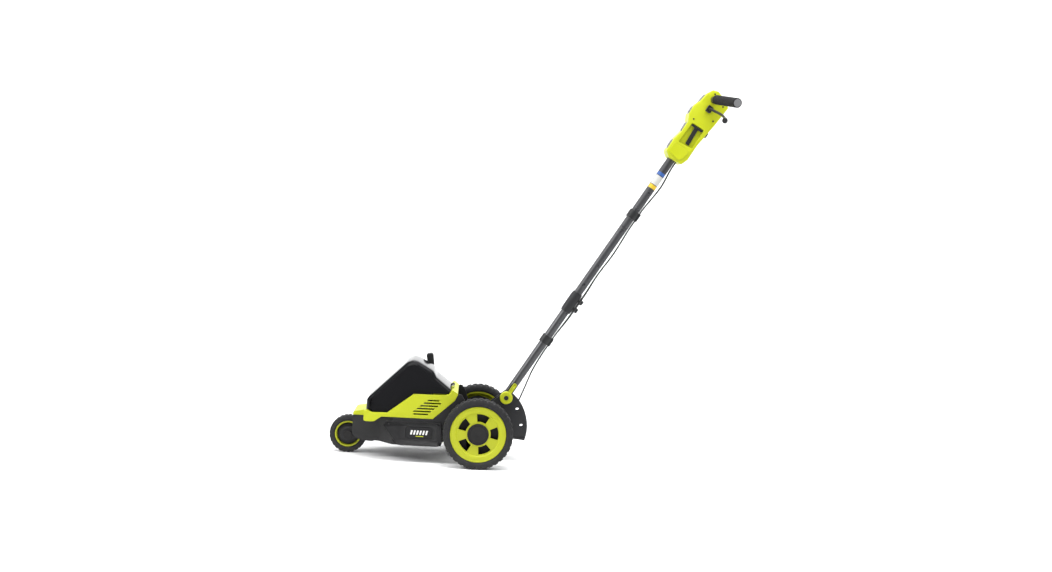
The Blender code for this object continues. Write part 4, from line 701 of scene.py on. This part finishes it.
def head_ring(work, centre, along, side, other, radius, shift, lobes=0, depth=0.0):
    ring = []
    for k in range(HEAD_STEPS):
        a = math.tau * k / HEAD_STEPS
        r = radius + (depth * math.cos(lobes * a) if lobes else 0.0)
        ring.append(work.verts.new(centre + along * shift + (side * math.cos(a) + other * math.sin(a)) * r))
    return ring


def add_head(work, centre, axis, radius, tall):
    """Add a pan head with a lobed recess to a shared mesh."""
    along = Vector(axis).normalized()
    side = along.orthogonal().normalized()
    other = along.cross(side)
    centre = Vector(centre)
    levels = [(radius, 0.0, 0, 0.0), (radius, tall * 0.35, 0, 0.0), (radius * 0.93, tall * 0.75, 0, 0.0),
              (radius * 0.72, tall, 0, 0.0), (radius * 0.44, tall, 6, radius * 0.05),
              (radius * 0.42, tall * 0.35, 6, radius * 0.05)]
    rings = [head_ring(work, centre, along, side, other, r, shift, lobes, deep)
             for r, shift, lobes, deep in levels]
    for first, second in zip(rings, rings[1:]):
        for k in range(HEAD_STEPS):
            j = (k + 1) % HEAD_STEPS
            work.faces.new((first[k], first[j], second[j], second[k]))
    work.faces.new(rings[0])
    work.faces.new(rings[-1])


def head_set(name, places, axis, radius, tall, finish, body, slot):
    work = bmesh.new()
    for place in places:
        add_head(work, place, axis, radius, tall)
    return register(new_piece(name, work, math.radians(40)), finish, body, slot)


HOUSING_FACE = -0.1077
HOUSING_SCREWS = ((-0.2480, 0.0600), (-0.1150, 0.0620), (-0.1180, 0.1120), (-0.2600, 0.1120))
head_set("near_housing_screws", [deck(x, HOUSING_FACE, z) for x, z in HOUSING_SCREWS], (0, -1, 0),
         0.0030, 0.0014, SATIN_BLACK, "chassis", "black_plastic")
print(len(HOUSING_SCREWS), "housing screws")

# %% [markdown]
# A moulded tyre on a walk-behind machine has shallow tread blocks, staggered left and right, a
# groove round the middle and a fine bead against the rim. The tyre is one closed band: the same
# cross-section is repeated round the wheel, and the points between two blocks dip by the tread depth.

# %% Tyres
# each row: share of half width, share of the way from bead to tread, 1 where the tread may dip
TYRE_SECTION = ((0.76, 0.00, 0), (0.86, 0.03, 0), (0.90, 0.10, 0), (0.955, 0.18, 0), (0.965, 0.24, 0),
                (0.985, 0.27, 0), (1.00, 0.42, 0), (0.99, 0.60, 0.2), (0.955, 0.78, 1), (0.89, 0.91, 1),
                (0.80, 0.975, 1), (0.62, 0.990, 1), (0.36, 0.998, 1), (0.10, 1.0, 1), (0.06, 0.93, 0))
# each row: share of the way through one tread pitch, 1 where the groove is
TREAD_PITCH = ((0.00, 0), (0.08, 1), (0.34, 1), (0.42, 0), (0.50, 0), (0.58, 0), (0.84, 0), (0.92, 0))
TREAD_LEAN = 0.020


def tread_tyre(name, node, pitches, depth, bead_share, body):
    low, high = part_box(node)
    middle = (low + high) / 2
    half, outer = (high.y - low.y) / 2, (high.z - low.z) / 2
    bead = outer * bead_share
    work = bmesh.new()
    section = [(-y, r, dip, -1) for y, r, dip in TYRE_SECTION]
    section += [(y, r, dip, 1) for y, r, dip in reversed(TYRE_SECTION)]
    columns = []
    for pitch in range(pitches):
        for index, (share, _) in enumerate(TREAD_PITCH):
            angle = math.tau * (pitch + share) / pitches
            column = []
            for y, r, dip, side in section:
                turned = (index + (4 if side > 0 else 0)) % len(TREAD_PITCH)
                groove = TREAD_PITCH[turned][1] * dip
                radius = bead + (outer - bead) * r - depth * groove
                a = angle + TREAD_LEAN * abs(y) * (1 if dip else 0)
                offset = Vector((radius * math.cos(a), y * half, radius * math.sin(a)))
                column.append(work.verts.new(middle + offset))
            columns.append(column)
    for k, column in enumerate(columns):
        following = columns[(k + 1) % len(columns)]
        count = len(column)
        for j in range(count):
            i = (j + 1) % count
            work.faces.new((column[j], following[j], following[i], column[i]))
    tyre = new_piece(name, work, math.radians(28))
    return register(tyre, TYRE, body, "tyre_rubber", node)


tread_tyre("near_tread_tyre", "near_tyre", 34, 0.0022, 0.799, "near_wheel")
tread_tyre("far_tread_tyre", "far_tyre", 34, 0.0022, 0.799, "far_wheel")
tread_tyre("front_tread_tyre", "front_tyre", 26, 0.0014, 0.703, "front_wheel")
print("three tyres with tread")

# %% [markdown]
# The hub cap hides the axle nut. It is turned with a shallow dish, a fine ring groove and a rounded
# rim, so it is never a bare disc. The rim behind it gets a raised bead round its edge, as a plastic
# wheel has where its mould closes.

# %% Hub caps and rim details
for side, label in SIDES:
    low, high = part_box(label + "_hub_cap")
    middle = (low + high) / 2
    outer = (high.x - low.x) / 2
    inner_y, outer_y = (high.y, low.y) if side < 0 else (low.y, high.y)
    thick = abs(outer_y - inner_y)
    cap_line = [(0.0, thick * 0.80), (outer * 0.12, thick * 0.80), (outer * 0.16, thick * 0.86),
                (outer * 0.60, thick * 0.92), (outer * 0.80, thick * 0.95), (outer * 0.82, thick * 0.78),
                (outer * 0.85, thick * 0.78), (outer * 0.87, thick * 0.98), (outer * 0.93, thick),
                (outer * 0.98, thick * 0.86), (outer, thick * 0.60), (outer, 0.0), (0.0, 0.0)]
    start = Vector((middle.x, inner_y, middle.z))
    cap = lathe(label + "_turned_cap", cap_line, start, (0, side, 0), 64, math.radians(25))
    register(cap, HUB, label + "_wheel", "black_plastic", label + "_hub_cap")

    rim_low, rim_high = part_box(label + "_rim")
    rim_outer = (rim_high.x - rim_low.x) / 2
    face_y = (rim_low.y if side < 0 else rim_high.y)
    lip_line = [(rim_outer - 0.0004, -0.0040), (rim_outer - 0.0004, 0.0008), (rim_outer - 0.0012, 0.0016),
                (rim_outer - 0.0030, 0.0016), (rim_outer - 0.0040, 0.0002), (rim_outer - 0.0040, -0.0040)]
    lip = lathe(label + "_rim_bead", lip_line, Vector((middle.x, face_y, middle.z)), (0, side, 0), 72)
    register(lip, RIM_LIME, label + "_wheel", "lime_plastic")
print("hub caps and rim beads on both rear wheels")

# %% [markdown]
# The lime control housing is two half shells screwed together. Along its front edge sit four soft
# pads, one in each scallop. In its sunk side panel a black T-shaped insert stands proud, with a
# low raised block below it and four screws round it. A black bezel surrounds the start button on
# the operator's side.

# %% Control housing: pads, inserts, screws and bezel
PAD_SEATS = (((-0.0315, 0.984), (-0.0325, 1.020)), ((-0.0262, 1.048), (-0.0275, 1.084)),
             ((-0.0385, 1.104), (-0.0400, 1.132)), ((-0.0325, 1.152), (-0.0285, 1.182)))
PAD_HALF = 0.0215
PAD_RISE = 0.0042
PAD_START, PAD_SPAN = 0.04, 0.92
PAD_ROWS, PAD_COLS = 8, 10
PAD_WALL = 0.0012
for number, (start, end) in enumerate(PAD_SEATS):
    foot, tip = Vector(start), Vector(end)
    along = (tip - foot).normalized()
    out = Vector((-along.y, along.x))
    work = bmesh.new()
    rows = []
    for r in range(PAD_ROWS + 1):
        t = PAD_START + PAD_SPAN * r / PAD_ROWS
        row = []
        for c in range(PAD_COLS + 1):
            v = 2 * c / PAD_COLS - 1
            fall_t = 1 - abs(2 * (t - 0.5) / PAD_SPAN) ** 4
            fall_v = 1 - abs(v) ** 4
            rise = PAD_RISE * max(fall_t, 0.0) ** 0.5 * max(fall_v, 0.0) ** 0.5
            base = foot.lerp(tip, t) + out * rise
            row.append(work.verts.new(stem(base.x, v * PAD_HALF, base.y)))
        rows.append(row)
    for r in range(PAD_ROWS):
        for c in range(PAD_COLS):
            work.faces.new((rows[r][c], rows[r][c + 1], rows[r + 1][c + 1], rows[r + 1][c]))
    pad = new_piece("front_pad_%d" % (number + 1), work, math.radians(60))
    wall = pad.modifiers.new("wall", "SOLIDIFY")
    wall.thickness = PAD_WALL
    wall.offset = -1.0
    keep_modifiers(pad)
    register(pad, PAD_GREY, "handle", "gloss_black")

INSERT_STEM = [(0.0035, 1.026), (0.0155, 1.026), (0.0120, 1.0795), (-0.0008, 1.0795)]
INSERT_BAR = [(-0.0125, 1.0785), (0.0255, 1.0790), (0.0250, 1.0850), (-0.0120, 1.0845)]
INSERTS = (("_insert_stem", INSERT_STEM, 0.0058), ("_insert_bar", INSERT_BAR, 0.0076))
INSERT_FLOOR = 0.0255
SHELL_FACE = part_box("far_control_shell")[1].y
SHELL_BLOCK = [(-0.0255, 0.9790), (0.0150, 0.9720), (0.0235, 0.9850), (0.0270, 1.0100), (-0.0255, 1.0125)]
SHELL_SCREWS = ((-0.0180, 1.0980), (0.0330, 1.1250), (-0.0080, 1.1930), (0.0330, 1.1760))
for side, label in SIDES:
    for name, outline, rise in INSERTS:
        low, high = sorted((side * (INSERT_FLOOR + 0.0002), side * (INSERT_FLOOR + rise)))
        insert = slab(label + name, rounded(outline, 0.0008, 2), low, high, stem, 0.0006)
        register(insert, SATIN_BLACK, "handle", "black_plastic")
    low, high = sorted((side * (SHELL_FACE - 0.0004), side * (SHELL_FACE + 0.0018)))
    block = slab(label + "_shell_block", rounded(SHELL_BLOCK, 0.006, 4), low, high, stem, 0.0015, 3)
    register(block, LIME, "handle", "lime_plastic")
    places = [stem(x, side * SHELL_FACE, s) for x, s in SHELL_SCREWS]
    head_set(label + "_shell_screws", places, (0, side, 0), 0.0026, 0.0010, SATIN_BLACK, "handle",
             "black_plastic")

button_low, button_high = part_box("start_button")
button_middle = (button_low + button_high) / 2
bezel_line = [(0.0098, 0.0), (0.0098, 0.0018), (0.0112, 0.0030), (0.0132, 0.0030), (0.0146, 0.0018),
              (0.0150, 0.0)]
bezel_seat = button_middle - BUTTON_AXIS * 0.0012
bezel = lathe("button_bezel", bezel_line + [bezel_line[0]], bezel_seat, -BUTTON_AXIS, 48, math.radians(40))
register(bezel, SATIN_BLACK, "handle", "black_plastic")
print("4 pads, 2 inserts, 8 shell screws, 1 bezel")

# %% [markdown]
# Two leads run from the control housing down the back of the tube, held by clips, and leave the
# tube to enter the deck between the bracket's plates. They must bend where the handle folds; here
# each is one fixed mesh tube that follows the handle above the fold and the deck below it.

# %% Power lead and bail lead
CABLE_R = 0.0019
CABLE_Y = 0.005
TUBE_R = 0.0127
CABLE_X = 0.0162
COUPLER_R = 0.0168
COUPLER_BACK = COUPLER_R + CABLE_R + 0.001
HOUSING_S = 0.965
SPAN_STEPS = 6


def smooth_line(points, per_span):
    """A Catmull-Rom curve through the route's points."""
    route = [Vector(p) for p in points]
    line = []
    for k in range(len(route) - 1):
        p0, p1, p2, p3 = route[max(k - 1, 0)], route[k], route[k + 1], route[min(k + 2, len(route) - 1)]
        for step in range(per_span):
            t = step / per_span
            line.append(0.5 * (2 * p1 + (p2 - p0) * t + (2 * p0 - 5 * p1 + 4 * p2 - p3) * t * t
                               + (3 * p1 - p0 - 3 * p2 + p3) * t ** 3))
    return line + [route[-1]]


def tube_mesh(name, line, radius, sides=12):
    """A tube along a line, with rings turned as little as possible from one to the next."""
    work = bmesh.new()
    rings, side = [], None
    for k, point in enumerate(line):
        along = (line[min(k + 1, len(line) - 1)] - line[max(k - 1, 0)]).normalized()
        side = along.orthogonal() if side is None else side - along * side.dot(along)
        side.normalize()
        other = along.cross(side)
        rings.append([work.verts.new(point + (side * math.cos(a) + other * math.sin(a)) * radius)
                      for a in (math.tau * i / sides for i in range(sides))])
    for first, second in zip(rings, rings[1:]):
        for i in range(sides):
            j = (i + 1) % sides
            work.faces.new((first[i], first[j], second[j], second[i]))
    work.faces.new(rings[0])
    work.faces.new(rings[-1])
    return new_piece(name, work, math.radians(50))


TO_HANDLE = HANDLE.inverted()
for side, name, node in ((-1, "power_lead", "power_cable"), (1, "bail_lead", "bail_cable")):
    y = side * CABLE_Y
    route = [(CABLE_X, y, HOUSING_S + 0.020), (CABLE_X, y, 0.940), (CABLE_X + 0.006, y, 0.880),
             (CABLE_X, y, 0.800), (CABLE_X, y, 0.767), (CABLE_X, y, 0.720), (CABLE_X + 0.004, y, 0.640),
             (CABLE_X + 0.001, y, 0.560), (COUPLER_BACK, y * 2.2, 0.490), (COUPLER_BACK, y * 2.2, 0.410),
             (CABLE_X, y, 0.345), (CABLE_X, y, 0.314), (CABLE_X, y, 0.270), (0.0200, y, 0.2150),
             (0.0325, y, 0.1500), (0.0410, y, 0.1000), (0.0450, y, 0.0500), (0.0390, y, 0.0080)]
    below = ((0.0330, 0.0800), (0.0050, 0.0860), (-0.0120, 0.096), (-0.030, 0.098), (-0.040, 0.098))
    route += [tuple(TO_HANDLE @ deck(x, y, z)) for x, z in below]
    line = [stem(*p) for p in smooth_line(route, SPAN_STEPS)]
    lead = tube_mesh(name, line, CABLE_R)
    lead.data.materials.append(CABLE)
    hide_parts(node)
    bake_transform(lead)

# %% [markdown]
# The last small pieces give the machine its character: a cover on the front wheel, a black disc
# inside each rear rim that paints the shade deep in its windows, a plug in the lock boss, light caps
# in the ends of the grips, and the coloured bands of a plain care label on the upper tube.

# %% Covers, painted-shade discs, plug, caps and bands
CAP_GREY = make_finish("cap_grey", (0.17, 0.17, 0.175), (0.12, 0.12, 0.125),
                       (0.40, 0.52, 40), (1200, 0.6, 0.0001))
front_low, front_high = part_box("front_tyre")
front_middle = (front_low + front_high) / 2
cover_line = [(0.0, 0.0150), (0.006, 0.0150), (0.0075, 0.0138), (0.020, 0.0128), (0.028, 0.0112),
              (0.0318, 0.0085), (0.0325, 0.004), (0.0325, 0.0), (0.0, 0.0)]
front_cover = lathe("front_wheel_cover", cover_line, front_middle, (0, -1, 0), 56, math.radians(25))
register(front_cover, HUB, "front_wheel", "black_plastic")

# a thin black disc set back behind each rear rim's windows: painted shade, standing in for the shadow deep in the
# window pockets
SHADE_DISC_IN, SHADE_DISC_OUT, SHADE_DISC_HALF, SHADE_DISC_BACK = 0.014, 0.066, 0.0010, 0.012
shade_disc_line = [(SHADE_DISC_IN, -SHADE_DISC_HALF), (SHADE_DISC_OUT, -SHADE_DISC_HALF), (SHADE_DISC_OUT, SHADE_DISC_HALF), (SHADE_DISC_IN, SHADE_DISC_HALF),
            (SHADE_DISC_IN, -SHADE_DISC_HALF)]
for side, label in SIDES:
    low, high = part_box(label + "_rim")
    seat = (low + high) / 2 - Vector((0, side * SHADE_DISC_BACK, 0))
    shade_disc = lathe(label + "_wheel_shade_disc", shade_disc_line, seat, (0, side, 0), 64)
    register(shade_disc, HUB, label + "_wheel", "black_plastic")

plug_line = [(0.0, 0.0007), (0.0030, 0.0007), (0.0042, 0.0011), (0.0066, 0.0011), (0.0070, 0.0004),
             (0.0070, -0.0002), (0.0, -0.0002)]
plug_seat = stem(0.0, 0, 0.105)
plug_seat.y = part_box("lock_lever")[0].y
lock_plug = lathe("lock_boss_plug", plug_line, plug_seat, (0, -1, 0), 40)
register(lock_plug, SATIN_BLACK, "lock", "black_plastic")

BAR_END = (0.040, 0.200, 1.178)
BAR_SLOPE = 0.040 / 0.153
grip_line = [(0.0, 0.0004), (0.0050, 0.0004), (0.0105, 0.0002), (0.0126, -0.0004), (0.0128, -0.0030),
             (0.0, -0.0030)]
for side, label in SIDES:
    seat = stem(BAR_END[0], side * BAR_END[1], BAR_END[2])
    run = stem(BAR_END[0] + BAR_SLOPE, side * (BAR_END[1] + 1), BAR_END[2]) - seat
    register(lathe(label + "_grip_cap", grip_line, seat, run, 40), CAP_GREY, "handle", "grey_plastic")

BAND_R = TUBE_R + 0.00025
BAND_STEPS = 18
BAND_START, BAND_SWEEP = 200, 140
BANDS = ((0.862, 0.874, "band_yellow", (0.62, 0.42, 0.02)),
         (0.876, 0.906, "band_white", (0.50, 0.50, 0.48)),
         (0.908, 0.918, "band_blue", (0.03, 0.10, 0.34)))
for low_s, high_s, name, colour in BANDS:
    print_finish = make_finish(name + "_film", colour, tuple(c * 0.8 for c in colour), (0.30, 0.42, 60),
                               (1500, 0.4, 0.00002))
    work = bmesh.new()
    rings = []
    for s in (low_s, high_s):
        rings.append([work.verts.new(stem(BAND_R * math.cos(a), BAND_R * math.sin(a), s))
                      for a in (math.radians(BAND_START + BAND_SWEEP * k / BAND_STEPS)
                                for k in range(BAND_STEPS + 1))])
    for k in range(BAND_STEPS):
        work.faces.new((rings[0][k], rings[0][k + 1], rings[1][k + 1], rings[1][k]))
    register(new_piece(name, work), print_finish, "handle", "grey_plastic")
print("plugs, caps, painted shade discs and", len(BANDS), "bands")
